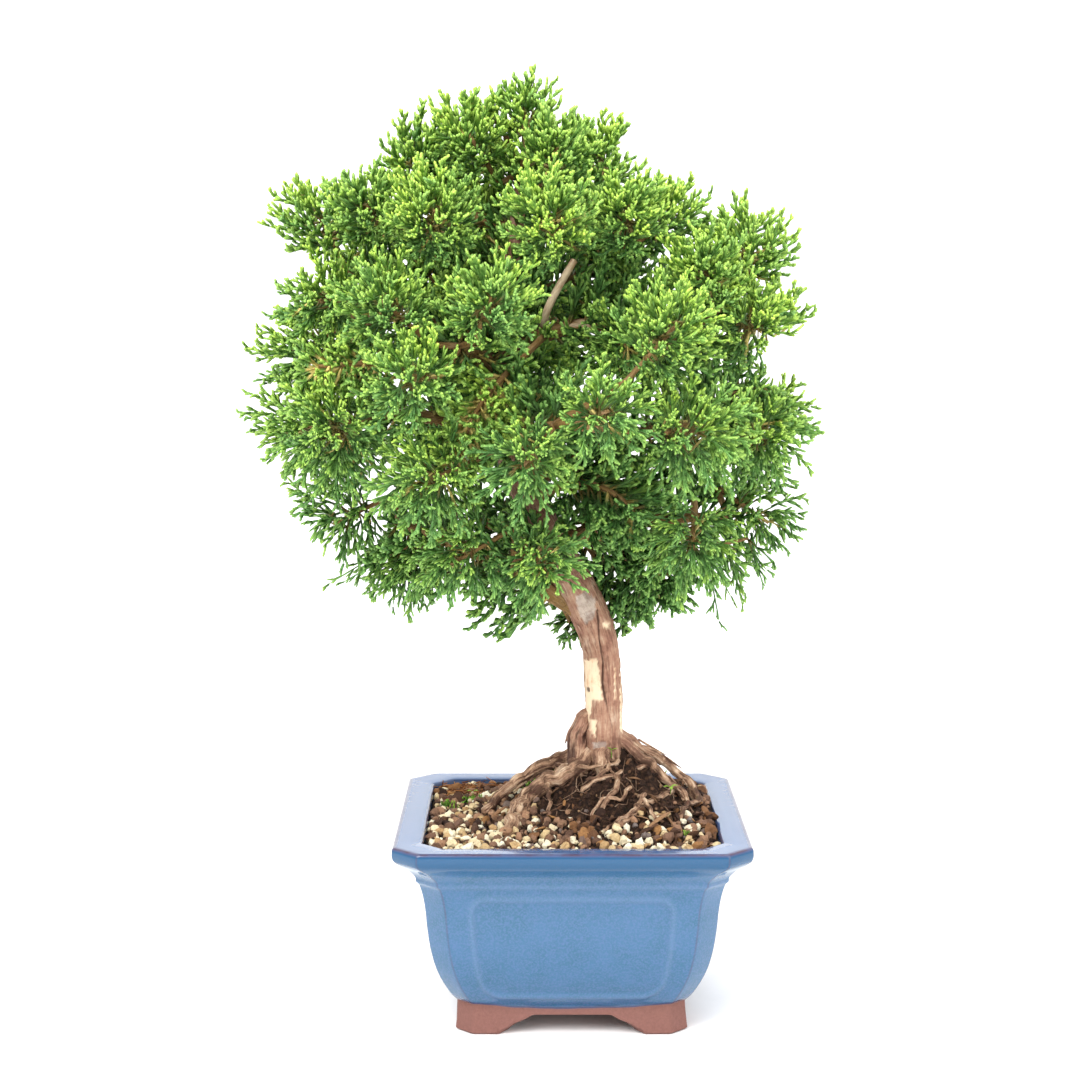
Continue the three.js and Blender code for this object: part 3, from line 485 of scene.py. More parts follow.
turns = np.arange(BED_STATIONS) / BED_STATIONS * 2 * math.pi
well_ring = cut_square(inner_half - SOIL_GAP)
well_turns = np.arctan2(well_ring[:, 1], well_ring[:, 0])
order = np.argsort(well_turns)
well_reach = np.interp((turns + math.pi) % (2 * math.pi) - math.pi, well_turns[order],
                       np.hypot(well_ring[:, 0], well_ring[:, 1])[order], period=2 * math.pi)
bed_rows = []
for half, height in [(FLOOR_HALF, FLOOR_TOP + SOIL_GAP)] + WELL_LINE[::-1]:
    reach = well_reach * (half - SOIL_GAP * 1.5) / (inner_half - SOIL_GAP)
    x, y = np.cos(turns) * reach, np.sin(turns) * reach
    bed_rows.append(np.column_stack([x, y, np.full_like(turns, height)]))
for ring in range(BED_RINGS):
    share = 1 - ring / BED_RINGS
    x = np.cos(turns) * well_reach * share
    y = np.sin(turns) * well_reach * share
    bed_rows.append(np.column_stack([x, y, soil_top(x, y)]))
bed_points = np.concatenate(bed_rows + [[[0, 0, float(soil_top(0.0, 0.0))], [0, 0, FLOOR_TOP + SOIL_GAP]]])
top_point = len(bed_points) - 2
last_ring = (len(bed_rows) - 1) * BED_STATIONS
around = np.arange(BED_STATIONS)
beside = (around + 1) % BED_STATIONS
bed_caps = np.concatenate([
    np.column_stack([last_ring + around, last_ring + beside, np.full(BED_STATIONS, top_point)]),
    np.column_stack([beside, around, np.full(BED_STATIONS, top_point + 1)]),
])
soil_bed = mesh_object("soil_bed", bed_points, [ring_faces(len(bed_rows), BED_STATIONS, False), bed_caps])

PEAT_TINTS = [(0.34, paint(30, 21, 17)), (0.52, paint(62, 43, 33)), (0.74, paint(112, 82, 60))]
peat, tree, shader = new_finish("dark_peaty_soil")
where = wire(tree, "TexCoord", out=3)
lumps = mottling(tree, where, 420.0, 8.0, 0.7)
fibres = mottling(tree, where, 1300.0, 4.0, 0.8)
coat(tree, shader, ramp(tree, lumps, PEAT_TINTS), 0.95, 0.2)
raised(tree, shader, sums(tree, "MULTIPLY_ADD", fibres, 0.5, lumps), 0.003)
soil_bed.data.materials.append(peat)

GOLDEN = (1 + math.sqrt(5)) / 2
ICO_POINTS = np.array([
    (-1, GOLDEN, 0), (1, GOLDEN, 0), (-1, -GOLDEN, 0), (1, -GOLDEN, 0), (0, -1, GOLDEN), (0, 1, GOLDEN),
    (0, -1, -GOLDEN), (0, 1, -GOLDEN), (GOLDEN, 0, -1), (GOLDEN, 0, 1), (-GOLDEN, 0, -1), (-GOLDEN, 0, 1),
]) / math.hypot(1, GOLDEN)
ICO_FACES = np.array([
    (0, 11, 5), (0, 5, 1), (0, 1, 7), (0, 7, 10), (0, 10, 11), (1, 5, 9), (5, 11, 4), (11, 10, 2),
    (10, 7, 6), (7, 1, 8), (3, 9, 4), (3, 4, 2), (3, 2, 6), (3, 6, 8), (3, 8, 9), (4, 9, 5), (2, 4, 11),
    (6, 2, 10), (8, 6, 7), (9, 8, 1),
])


def split_faces(points, faces):
    """Each triangle becomes four, with the new points out on the ball."""
    points = [tuple(p) for p in points]
    halfway = {}

    def between(a, b):
        key = (min(a, b), max(a, b))
        if key not in halfway:
            middle = (np.array(points[a]) + np.array(points[b])) / 2
            halfway[key] = len(points)
            points.append(tuple(middle / np.linalg.norm(middle)))
        return halfway[key]

    small = []
    for a, b, c in faces:
        ab, bc, ca = between(a, b), between(b, c), between(c, a)
        small += [(a, ab, ca), (b, bc, ab), (c, ca, bc), (ab, bc, ca)]
    return np.array(points), np.array(small)


ROUND_POINTS, ROUND_FACES = split_faces(ICO_POINTS, ICO_FACES)


def random_turns(draw, count):
    """As many random rotations, as 3 by 3 tables."""
    q = draw.normal(size=(count, 4))
    q /= np.linalg.norm(q, axis=1, keepdims=True)
    w, x, y, z = q.T
    return np.stack([
        np.stack([1 - 2 * (y * y + z * z), 2 * (x * y - z * w), 2 * (x * z + y * w)], axis=-1),
        np.stack([2 * (x * y + z * w), 1 - 2 * (x * x + z * z), 2 * (y * z - x * w)], axis=-1),
        np.stack([2 * (x * z - y * w), 2 * (y * z + x * w), 1 - 2 * (x * x + y * y)], axis=-1),
    ], axis=1)


def lay_grains(draw, places, radii, flatness, fine):
    """Rough stones at their places: points, faces and one random tint for each stone."""
    shape, faces = (ROUND_POINTS, ROUND_FACES) if fine else (ICO_POINTS, ICO_FACES)
    count = len(places)
    lumpy = 1 + draw.normal(0, 0.13, size=(count, len(shape), 1))
    axes = np.column_stack([draw.uniform(0.8, 1.35, count), draw.uniform(0.7, 1.0, count),
                            draw.uniform(*flatness, count)])
    stones = shape[None] * lumpy * axes[:, None, :]
    stones = np.einsum("nij,npj->npi", random_turns(draw, count), stones)
    stones = stones * np.asarray(radii)[:, None, None] + np.asarray(places)[:, None, :]
    faces = faces[None] + (np.arange(count) * len(shape))[:, None, None]
    tint = np.repeat(draw.uniform(0, 1, count), len(shape))
    return stones.reshape(-1, 3), faces.reshape(-1, 3), tint


def gather(parts):
    """Several lots of points, faces and marks as one lot."""
    points, faces, marks, base = [], [], [], 0
    for lot_points, lot_faces, lot_marks in parts:
        points.append(lot_points)
        faces.append(lot_faces + base)
        marks.append(lot_marks)
        base += len(lot_points)
    return np.concatenate(points), np.concatenate(faces), np.concatenate(marks)


def scatter(draw, pitch):
    """Places all over the soil, one in each cell of a grid and off its middle by chance."""
    half = inner_half - 1.2
    cells = int(2 * half / pitch)
    across = (np.arange(cells) + 0.5) / cells * 2 * half - half
    x, y = np.meshgrid(across, across)
    x = x.ravel() + draw.uniform(-0.5, 0.5, x.size) * pitch
    y = y.ravel() + draw.uniform(-0.5, 0.5, y.size) * pitch
    off_corners = np.abs(x) + np.abs(y) < half * (2 - CORNER_CUT) - 0.8
    inside = (np.abs(x) < half) & (np.abs(y) < half) & off_corners
    return x[inside], y[inside]


PORE_SHADE = (0.62, 0.6, 0.58, 1)


def stone_look(name, stops, grit, depth):
    """Matt stone: a tint for each stone from dark to light, with pores."""
    finish, tree, shader = new_finish(name)
    where = wire(tree, "TexCoord", out=3)
    tint = mark(tree, "tint")
    pores = mottling(tree, where, grit, 4.0, 0.7)
    colour = ramp(tree, tint, stops)
    shade = ramp(tree, pores, [(0.3, PORE_SHADE), (0.65, WHITE)])
    coat(tree, shader, blend_colours(tree, 1.0, colour, shade, "MULTIPLY"), 0.9, 0.25)
    raised(tree, shader, pores, depth, 0.8)
    return finish


# The ground is bare past the mound's foot. There pumice is the more common the further to the left
# and the front a grain lies, but rare in the back left corner under the fibre
GRAIN_PITCH = 2.75
MOUND_FOOT = 34
PUMICE_LEAST = 0.12
PUMICE_LEFT = 0.34
PUMICE_FRONT = 0.28
PUMICE_MOST = 0.72
PUMICE_UNDER_FIBRE = 0.35
CLAY_SHARE = 0.42
CHIP_SHARE = 0.1
CHIP_MORE = 0.16
draw = np.random.default_rng(11)
x, y = scatter(draw, GRAIN_PITCH)
mound_away = np.hypot(x - MOUND_TOP[0], y - MOUND_TOP[1])
bareness = np.clip((mound_away - MOUND_FOOT) / 12, 0, 1)
left_share = np.clip((30 - x) / 80, 0, 1)
front_share = np.clip((-y - 20) / 35, 0, 1)
pumice_share = PUMICE_LEAST + PUMICE_LEFT * left_share + PUMICE_FRONT * front_share
pumice_share = bareness * np.clip(pumice_share, 0, PUMICE_MOST)
pumice_share *= np.where((y > 25) & (x < -25), PUMICE_UNDER_FIBRE, 1.0)
chance = draw.uniform(0, 1, len(x))
size = draw.uniform(0, 1, len(x))
is_pumice = chance < pumice_share
clay_limit = pumice_share + bareness * CLAY_SHARE
is_clay = ~is_pumice & (chance < clay_limit)
is_chip = ~is_pumice & ~is_clay & (chance < clay_limit + CHIP_SHARE + CHIP_MORE * bareness)


def stones_at(draw, chosen, smallest, largest, flatness, lift):
    """Fine stones where they are large and plain ones where they are small."""
    radii = smallest + (largest - smallest) * size[chosen] ** 1.8 * (0.3 + 0.7 * bareness[chosen])
    places = np.column_stack([x[chosen], y[chosen], soil_top(x[chosen], y[chosen]) + radii * lift])
    big = radii > (smallest + largest) / 2.4
    lots = [lay_grains(draw, places[part], radii[part], flatness, fine)
            for part, fine in ((big, True), (~big, False)) if part.any()]
    return gather(lots)


def add_soil_piece(name, lot, finish):
    points, faces, tint = lot
    piece = mesh_object(name, points, [faces], {"tint": tint}, smooth=False)
    piece.data.materials.append(finish)
    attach(piece, "root")
    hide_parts("soil")


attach(soil_bed, "root")
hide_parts("soil")
PUMICE_TINTS = [
    (0.0, paint(184, 148, 104)), (0.25, paint(214, 188, 142)), (0.55, paint(238, 222, 184)),
    (1.0, paint(252, 246, 222)),
]
CLAY_TINTS = [
    (0.0, paint(84, 60, 48)), (0.35, paint(124, 94, 76)), (0.65, paint(168, 130, 102)),
    (0.85, paint(116, 86, 68)), (1.0, paint(120, 112, 110)),
]
CHIP_TINTS = [
    (0.0, paint(46, 30, 24)), (0.5, paint(82, 56, 42)), (0.8, paint(128, 90, 60)),
    (1.0, paint(172, 126, 78)),
]
pumice_look = stone_look("pale_pumice", PUMICE_TINTS, 1500.0, 0.0006)
clay_look = stone_look("red_brown_clay_grains", CLAY_TINTS, 1200.0, 0.0005)
chip_look = stone_look("dark_bark_chips", CHIP_TINTS, 900.0, 0.0006)
add_soil_piece("pumice_grains", stones_at(draw, is_pumice, 1.1, 2.6, (0.5, 0.9), 0.4), pumice_look)
add_soil_piece("clay_grains", stones_at(draw, is_clay, 1.0, 2.7, (0.5, 0.95), 0.4), clay_look)
add_soil_piece("bark_chips", stones_at(draw, is_chip, 1.2, 3.4, (0.2, 0.45), 0.45), chip_look)

# The crumbs that lie everywhere between the grains
CRUMB_PITCH = 2.1
CRUMBS_KEPT = 0.8
CRUMB_TINTS = [
    (0.0, paint(34, 24, 19)), (0.6, paint(68, 47, 36)), (0.9, paint(104, 76, 56)),
    (1.0, paint(160, 128, 96)),
]
x, y = scatter(draw, CRUMB_PITCH)
kept = draw.uniform(0, 1, len(x)) < CRUMBS_KEPT
x, y = x[kept], y[kept]
crumb_radii = draw.uniform(0.45, 1.15, len(x))
crumb_places = np.column_stack([x, y, soil_top(x, y) + crumb_radii * 0.4])
crumb_look = stone_look("dark_soil_crumbs", CRUMB_TINTS, 900.0, 0.0005)
add_soil_piece("soil_crumbs", lay_grains(draw, crumb_places, crumb_radii, (0.5, 1.0), False), crumb_look)


# The wood
# Trunk, surface roots and limbs, one grown body under stringy red-brown bark with deep lengthwise
# cracks. Bare cream wood shows where bark is gone, and twigs run from the limbs to each spray.

# Stations along the trunk, each root and each limb: x, y, z and radius in millimetres
TRUNK = [
    (15, 7, 84, 12), (15, 5, 100, 11), (14.5, 1.5, 114, 9), (14.5, 0, 124, 8.1), (14.2, 0, 140, 7.8),
    (13, 0, 156, 7.6), (9, 0, 171, 8), (2, 0, 185, 8), (-7, 1, 201, 7.4), (-17, 2, 220, 6.9),
    (-26, 3, 243, 6.4), (-31, 3, 268, 5.8), (-31, 2, 294, 5), (-27, 0, 320, 4.1),
    (-23, -1, 345, 3), (-21, -2, 364, 2.1),
]
ROOTS = {
    "front_left": [
        (11, 0, 112, 5), (3, -5, 106, 4.2), (-5, -6, 102, 3.8), (-13, -6, 97.5, 3.5),
        (-20, -9, 92, 3.3), (-24, -18, 88, 3.2), (-25.5, -29, 84.5, 3.1), (-26, -37, 77, 2.4),
    ],
    "left": [
        (9, 3, 114, 5), (0, 4, 109, 3.8), (-11, 4, 105, 3), (-21, 3, 99.5, 2.6), (-31, 0, 92, 2.3),
        (-39, -4, 84, 1.9), (-44, -6, 77, 1.5),
    ],
    "knob": [
        (11, 1, 129, 3.4), (6.5, 0, 126, 4.2), (3, -2, 119, 4.8), (2.5, -3, 111, 4.6), (4, -4, 102, 4),
    ],
    "front": [(13.5, 0, 122, 6.6), (13.2, -4, 112, 5.2), (12.8, -8, 104, 3.8), (12, -10, 96, 3)],
    "right": [
        (16, 1, 122, 4), (24, -1, 115.5, 2.8), (34, -2, 107, 2.5), (42, -3, 100, 2.3),
        (48.5, -6, 93.5, 2.1), (52, -13, 87, 1.9), (53, -19, 79, 1.5),
    ],
    "far_right": [
        (17, 5, 120, 4.2), (30, 6, 112.5, 2.6), (42, 9, 104.5, 2.3), (51.5, 7, 97, 2.1),
        (56.5, 0, 90, 2), (57.3, -7, 83, 1.7), (57, -12, 77, 1.4),
    ],
    "back_left": [
        (11, 8, 114, 4.5), (2, 17, 107, 3.4), (-8, 27, 99, 2.9), (-17, 38, 88, 2.3), (-21, 46, 79, 1.8),
    ],
    "back": [
        (14, 10, 113, 4.5), (15, 23, 107, 3.2), (12, 37, 97, 2.7), (9, 48, 86, 2.1), (7, 53, 78, 1.8),
    ],
    "back_right": [
        (18, 8, 115, 4.4), (27, 20, 107, 3.1), (36, 32, 97, 2.6), (42, 42, 86, 2), (44, 48, 78, 1.7),
    ],
    "thin_cross": [
        (34, -2, 106, 1.6), (28, -6, 105, 1.4), (20, -11, 104, 1.4), (11, -14, 102, 1.3),
        (4, -15, 97, 1.2),
    ],
    "thin_front": [
        (20, -11, 103.5, 1.4), (20, -18, 100, 1.4), (15, -25, 95.5, 1.3), (11, -31, 90, 1.2),
        (9, -35, 84, 1.1),
    ],
    "thin_right": [
        (46, -4, 96, 1.7), (39, -14, 94.5, 1.5), (31, -23, 93.5, 1.4), (25, -32, 90, 1.3),
        (18, -40, 86.5, 1.2), (12, -44, 80, 1.1),
    ],
}
LIMBS = {
    "low_left": [
        (8, 0, 172, 5), (-5, -1, 180, 4), (-20, -5, 189, 3.4), (-38, -13, 200, 2.8),
        (-56, -18, 208, 2.2), (-74, -18, 214, 1.6),
    ],
    "low_right": [
        (-6, 1, 202, 4.6), (10, 4, 209, 3.6), (30, 4, 213, 2.9), (50, 0, 215, 2.2), (68, 0, 216, 1.7),
    ],
    "low_front": [(-8, 1, 204, 4.4), (-12, -16, 205, 3.1), (-18, -34, 204, 2.2), (-24, -44, 202, 1.7)],
    "low_back": [(-8, 2, 204, 4.4), (-13, 18, 206, 3.2), (-26, 34, 207, 2.4), (-40, 46, 206, 1.7)],
    "middle_left": [(-27, 3, 248, 4.6), (-47, 0, 255, 3.4), (-68, -6, 260, 2.6), (-84, -8, 260, 1.9)],
    "middle_right": [
        (-20, 3, 230, 5), (2, 0, 243, 3.8), (26, -6, 251, 3), (48, -14, 256, 2.3), (66, -12, 258, 1.7),
    ],
    "middle_front": [(-26, 2, 244, 4.2), (-25, -20, 252, 3), (-20, -42, 256, 2.2), (-8, -62, 260, 1.7)],
    "middle_back": [(-27, 3, 250, 4.4), (-28, 28, 252, 3.2), (-26, 52, 251, 2.4), (-22, 72, 249, 1.7)],
    "upper_left": [(-31, 2, 288, 4.2), (-52, 2, 299, 3.2), (-72, 1, 311, 2.6), (-86, 0, 318, 2)],
    "upper_right": [
        (-30, 2, 284, 4.2), (-10, -4, 295, 3.4), (14, -8, 299, 2.9), (38, -8, 299, 2.5),
        (56, -6, 299, 2.2), (66, -5, 307, 1.7),
    ],
    "upper_front": [(-31, 2, 276, 3.8), (-38, -22, 286, 2.7), (-46, -46, 291, 1.8)],
    "upper_back": [(-30, 2, 300, 4), (-32, 28, 306, 3), (-32, 52, 308, 2.3), (-26, 68, 308, 1.7)],
    "crown_left": [(-24, 0, 338, 2.8), (-42, 2, 345, 2.2), (-62, 2, 352, 1.6)],
    "crown_right": [(-25, 0, 334, 2.9), (-8, -2, 340, 2.4), (10, -4, 341, 2), (21, -6, 338, 1.6)],
    "cut_stub": [(-12, -4, 296, 3), (-11, -12, 304, 2.6), (-6, -15, 314, 2.5), (1, -16, 326, 2.4)],
}
# The sprays from the top of the crown down: x, y and z of the middle, and how far the shoots reach
FOLIAGE = {
    "crown": [
        (-20, -5, 388, 19), (-43, -16, 378, 22), (-67, -4, 371, 22), (-7, -28, 370, 22),
        (13, 4, 371, 20), (-50, 34, 366, 25), (-4, 38, 365, 25),
    ],
    "upper": [
        (-108, 0, 345, 25), (-86, -28, 348, 23), (-56, -52, 345, 26), (-10, -64, 344, 26),
        (22, -40, 345, 23), (42, -4, 344, 22), (76, -6, 333, 25), (54, -48, 322, 24),
        (-90, 42, 336, 28), (-38, 76, 334, 29), (16, 70, 336, 29), (64, 44, 320, 28),
    ],
    "middle": [
        (-104, -24, 309, 24), (-76, -62, 309, 24), (-33, -80, 310, 23), (-115, 14, 287, 25),
        (-66, -84, 280, 23), (22, -38, 292, 20), (38, -78, 298, 25), (76, -34, 298, 23),
        (84, 12, 297, 23), (-97, 60, 294, 28), (-56, 92, 294, 28), (-6, 98, 294, 28), (46, 76, 288, 29),
    ],
    "lower": [
        (-114, -10, 255, 25), (-97, -54, 255, 28), (-60, -76, 238, 25), (-20, -86, 246, 21),
        (12, -90, 267, 22), (50, -78, 258, 26), (78, -38, 253, 26), (82, 6, 256, 23),
        (-104, 42, 250, 28), (-56, 88, 246, 28), (2, 92, 248, 28), (54, 62, 246, 28),
    ],
    "hanging": [
        (-99, -20, 216, 25), (-74, 0, 190, 25), (-48, -52, 203, 26), (-10, -60, 199, 25),
        (50, -42, 208, 28), (84, 2, 214, 23), (38, 2, 186, 23), (-64, 48, 203, 27), (-14, 60, 200, 27),
        (34, 44, 206, 24), (2, 20, 162, 13),
    ],
}
# Small twigs that fill the crown round the bend of the trunk and the cut stub and at the tree's
# sides, and weak ones whose shoots hang low or fade
SMALL_TWIGS = {
    "low_right_of_trunk": [(4, 8, 214, 2.0), (16, 10, 204, 1.6), (26, 10, 192, 1.2), (31, 8, 182, 0.9)],
    "low_behind_trunk": [(-4, 10, 212, 2.0), (8, 20, 200, 1.5), (15, 24, 186, 1.1), (18, 24, 174, 0.8)],
    "low_over_bend": [(-14, 0, 224, 2.0), (0, -14, 232, 1.5), (14, -22, 230, 1.2), (26, -26, 222, 0.9)],
    "low_past_bend": [(-14, 2, 232, 2.0), (0, 12, 236, 1.5), (14, 16, 232, 1.2), (28, 16, 226, 0.9)],
    "upper_over_limb": [(-4, -6, 296, 1.6), (8, -16, 298, 1.3), (22, -24, 298, 0.9)],
    "upper_left_over": [(-32, -4, 290, 1.8), (-42, -16, 294, 1.3), (-54, -22, 294, 0.9)],
    "upper_behind_stub": [
        (-26, 4, 306, 2.0), (-6, 10, 316, 1.5), (10, 12, 320, 1.2), (22, 10, 316, 0.9),
    ],
    "upper_left_gap": [(-46, 2, 300, 1.6), (-56, -4, 314, 1.2), (-64, -8, 324, 0.9)],
    "middle_right_end": [(52, -14, 257, 1.6), (66, -8, 268, 1.2), (82, -6, 272, 0.9)],
    "crown_top": [(-24, 0, 370, 1.3), (-30, -2, 382, 1.0), (-33, -3, 389, 0.8)],
    "whips_left": [(-54, -10, 206, 1.2), (-68, -14, 204, 0.9), (-80, -14, 203, 0.6)],
    "whips_right": [(56, -6, 206, 1.2), (66, -8, 205, 0.9), (76, -8, 207, 0.6)],
    "fading_front": [
        (-12, -20, 294, 1.6), (-30, -46, 277, 1.2), (-40, -62, 264, 1.0), (-47, -68, 247, 0.7),
    ],
    "fading_left": [(-66, -34, 284, 1.4), (-84, -44, 284, 1.1), (-104, -50, 283, 0.8)],
}
LEAN = {"crown": 0.7, "upper": 0.45, "middle": 0.25, "lower": 0.05, "hanging": -0.55}
STEM_START = 0.86
TWIG_RADIUS = 1.3
CUT_STUB_GIRTH = 0.62
WANDER_PITCHES = (0.35, 0.6, 1.0)
UP = np.array([0.0, 0.0, 1.0])


def unit(v):
    return v / np.maximum(np.linalg.norm(v, axis=-1, keepdims=True), 1e-9)


def limb_curve(places, shares):
    """Points on the limb's curve, evenly by place, with tangents that ease past uneven gaps."""
    knots = np.array(places, dtype=float)[:, :3]
    knots = np.vstack([2 * knots[0] - knots[1], knots, 2 * knots[-1] - knots[-2]])
    spot = np.clip(np.asarray(shares, dtype=float), 0, 1) * (len(places) - 1)
    span = np.minimum(spot.astype(int), len(places) - 2)
    t = (spot - span)[:, None]
    before, start, stop, after = (knots[span + k] for k in range(4))
    gap0, gap1, gap2 = (np.sqrt(np.linalg.norm(q - p, axis=1, keepdims=True))
                        for p, q in ((before, start), (start, stop), (stop, after)))
    lead = ((start - before) / gap0 - (stop - before) / (gap0 + gap1) + (stop - start) / gap1) * gap1
    trail = ((stop - start) / gap1 - (after - start) / (gap1 + gap2) + (after - stop) / gap2) * gap1
    return (start + lead * t + (-3 * start + 3 * stop - 2 * lead - trail) * t ** 2
            + (2 * start - 2 * stop + lead + trail) * t ** 3)


def limb_radius(places, shares):
    radii = np.array(places, dtype=float)[:, 3]
    return np.interp(np.asarray(shares) * (len(places) - 1), np.arange(len(places)), radii)


def frames_along(middles):
    """Tangent and two cross directions at each middle, turned as little as possible."""
    along = unit(np.gradient(middles, axis=0))
    side = np.array([1.0, 0, 0]) if abs(along[0][2]) > 0.9 else UP
    sides = []
    for heading in along:
        side = unit(side - heading * side.dot(heading))
        sides.append(side)
    sides = np.array(sides)
    return along, sides, np.cross(along, sides)


def wander(run, seed, size):
    """A slow sideways drift of a limb's middle along its run."""
    draw = np.random.default_rng(seed)
    bends = []
    for _ in range(3):
        bends.append(sum(
            np.sin(run * pitch + draw.uniform(0, 6)) * draw.uniform(0.5, 1) for pitch in WANDER_PITCHES))
    return size * np.stack(bends, axis=-1)


def bark_relief(turn, run, seed, cords):
    """Lengthwise cords and cracks of the bark, as a share of the limb's radius."""
    draw = np.random.default_rng(seed)
    drift = 0.5 * np.sin(run * 0.05 + draw.uniform(0, 6)) + 0.25 * np.sin(run * 0.16 + draw.uniform(0, 6))
    crack = np.abs(np.sin(turn * cords / 2 + drift * 2 + draw.uniform(0, 6)))
    fine = np.abs(np.sin(turn * cords * 1.5 + drift * 5 + run * 0.05 + draw.uniform(0, 6)))
    lump = np.sin(run * 0.11 + 2 * turn + draw.uniform(0, 6))
    lump = lump + np.sin(run * 0.23 - turn + draw.uniform(0, 6))
    ragged = np.sin(run * 1.3 + 9 * turn) * np.sin(run * 0.7 - 5 * turn + 2)
    return 0.10 * (crack ** 0.6 - 0.6) + 0.035 * (fine ** 0.7 - 0.6) + 0.03 * lump + 0.018 * ragged


def run_length(places, steps=200):
    """How long a limb's curve is."""
    rough = limb_curve(places, np.linspace(0, 1, steps))
    return np.linalg.norm(np.diff(rough, axis=0), axis=1).sum()


def even_shares(places, gap):
    """Shares of a limb's run that lie about a gap apart."""
    return np.linspace(0, 1, max(4, round(run_length(places) / gap)))


def limb_skin(places, sides, shares, seed, cords, relief=1.0, drift=0.0):
    """A closed limb: points, quads, caps, each point's depth in the bark and its place in the grain."""
    middles = limb_curve(places, shares)
    along, side, third = frames_along(middles)
    run = np.concatenate([[0], np.cumsum(np.linalg.norm(np.diff(middles, axis=0), axis=1))])[:, None]
    middles = middles + wander(run[:, 0], seed + 900, drift)
    turn = (np.arange(sides) / sides * 2 * math.pi)[None, :]
    depth = bark_relief(turn, run, seed, cords) * relief
    girth = limb_radius(places, shares)[:, None]
    radius = girth * (1 + depth)
    points = (middles[:, None] + side[:, None] * (np.cos(turn) * radius)[..., None]
              + third[:, None] * (np.sin(turn) * radius)[..., None])
    grain = np.broadcast_arrays(np.cos(turn) * girth + seed * 31, np.sin(turn) * girth, run)
    grain = np.stack(grain, axis=-1)
    grain = np.concatenate([grain.reshape(-1, 3), grain[[0, -1], 0]])
    rows = len(shares)
    ends = np.array([middles[0] - along[0] * 0.4, middles[-1] + along[-1] * radius[-1].mean() * 0.5])
    around = np.arange(sides)
    beside = (around + 1) % sides
    last = (rows - 1) * sides
    caps = np.concatenate([
        np.column_stack([beside, around, np.full(sides, rows * sides)]),
        np.column_stack([last + around, last + beside, np.full(sides, rows * sides + 1)]),
    ])
    points = np.concatenate([points.reshape(-1, 3), ends])
    depth = np.concatenate([np.broadcast_to(depth, (rows, sides)).ravel(), [0, 0]])
    return points, ring_faces(rows, sides, False), caps, depth, grain


wood_skins = []


def add_wood(skin, shade=0.0):
    """Takes up one limb, with its bark lighter or darker by the shade."""
    points, quads, caps, depth, grain = skin
    wood_skins.append((points, quads, caps, depth + shade, grain))


# Where each spray's twig leaves the nearest limb, and which way the spray faces
twig_sites = np.concatenate(
    [limb_curve(places, np.arange(4, 11) / 10) for name, places in LIMBS.items() if name != "cut_stub"]
    + [limb_curve(TRUNK, np.arange(15, 21) / 20)])
SPRAYS = []
for tier, rows in FOLIAGE.items():
    for number, (x, y, z, reach) in enumerate(rows, start=1):
        middle = np.array([x, y, z], dtype=float)
        site = twig_sites[np.argmin(np.linalg.norm(twig_sites - middle, axis=1))]
        axis = unit(unit(middle - site) + UP * LEAN[tier])
        side = np.array([1.0, 0, 0]) if abs(axis[2]) > 0.9 else UP
        side = unit(side - axis * side.dot(axis))
        SPRAYS.append({
            "node": f"foliage_{tier}_{number}", "tier": tier, "middle": middle, "reach": reach,
            "site": site, "stem": middle - axis * reach * STEM_START,
            "axis": axis, "side": side, "third": np.cross(axis, side),
        })

# The trunk, with closely set rings over its lower part, which stands free of foliage
BARE_STATIONS = 9
TRUNK_SIDES = 96
bare_trunk = BARE_STATIONS / (len(TRUNK) - 1)
lower_shares = steps_between(0, bare_trunk, 1 / 230)[:-1]
trunk_shares = np.concatenate([lower_shares, steps_between(bare_trunk, 1, 1 / 70)])
trunk_skin = list(limb_skin(TRUNK, TRUNK_SIDES, trunk_shares, 1, 9, 0.6))

# Marks on the trunk's front side, each an outline of x and z: bare cream wood, a weathered grey patch,
# one long open crack and the knot of a lost twig
BARE_OUTLINES = [
    [(5.4, 153.0), (5.4, 137.8), (10.1, 135.2), (14.3, 135.7), (13.2, 143.0), (12.4, 149.5), (11.6, 154.8)],
    [(5.3, 139.0), (5.0, 124.0), (7.8, 122.5), (9.6, 137.0)],
    [(13.1, 170.3), (13.5, 167.2), (17.2, 166.8), (17.0, 169.8)],
    [(18.6, 150.0), (18.5, 137.0), (19.4, 136.0), (19.7, 150.0)],
    [(21.2, 150.8), (21.2, 121.0), (23.0, 120.0), (23.0, 150.8)],
    [(8.4, 127.0), (8.8, 121.0), (10.8, 119.5), (11.5, 128.5)],
]
GREY_OUTLINES = [
    [(1.5, 182.0), (3.0, 174.2), (6.2, 169.0), (10.5, 173.0), (10.7, 180.8), (6.6, 184.5)],
    [(9.4, 117.0), (10.0, 108.0), (15.5, 107.0), (15.5, 118.5)],
]
OPEN_CRACK = [(11.4, 175.0), (12.4, 161.3), (13.9, 152.8), (13.5, 143.4), (15.8, 133.1), (17.4, 121.0)]
CRACK_FOOT = 124
CRACK_TOP = 176
CRACK_HALF = 0.45
CRACK_DEPTH = 1.0
KNOT = (7.1, 139.9)
KNOT_DEPTH = 0.8
BARK_STEP = 0.55
TRUNK_GIRTH = 8.0
FRONT_DEPTH = 1.5
MARKED_TOP = 215


def inside_by(px, pz, outline):
    """How far places lie inside an outline that bulges everywhere, with a ragged edge."""
    ragged = 0.22 * np.sin(pz * 1.9) + 0.12 * np.sin(pz * 4.1 + px * 2) + 0.12 * np.sin(px * 3.7)
    nearest = np.full(len(px), 99.0)
    for (x0, z0), (x1, z1) in zip(outline, outline[1:] + outline[:1]):
        length = math.hypot(x1 - x0, z1 - z0)
        nearest = np.minimum(nearest, ((px - x0) * -(z1 - z0) + (pz - z0) * (x1 - x0)) / length)
    return nearest + ragged


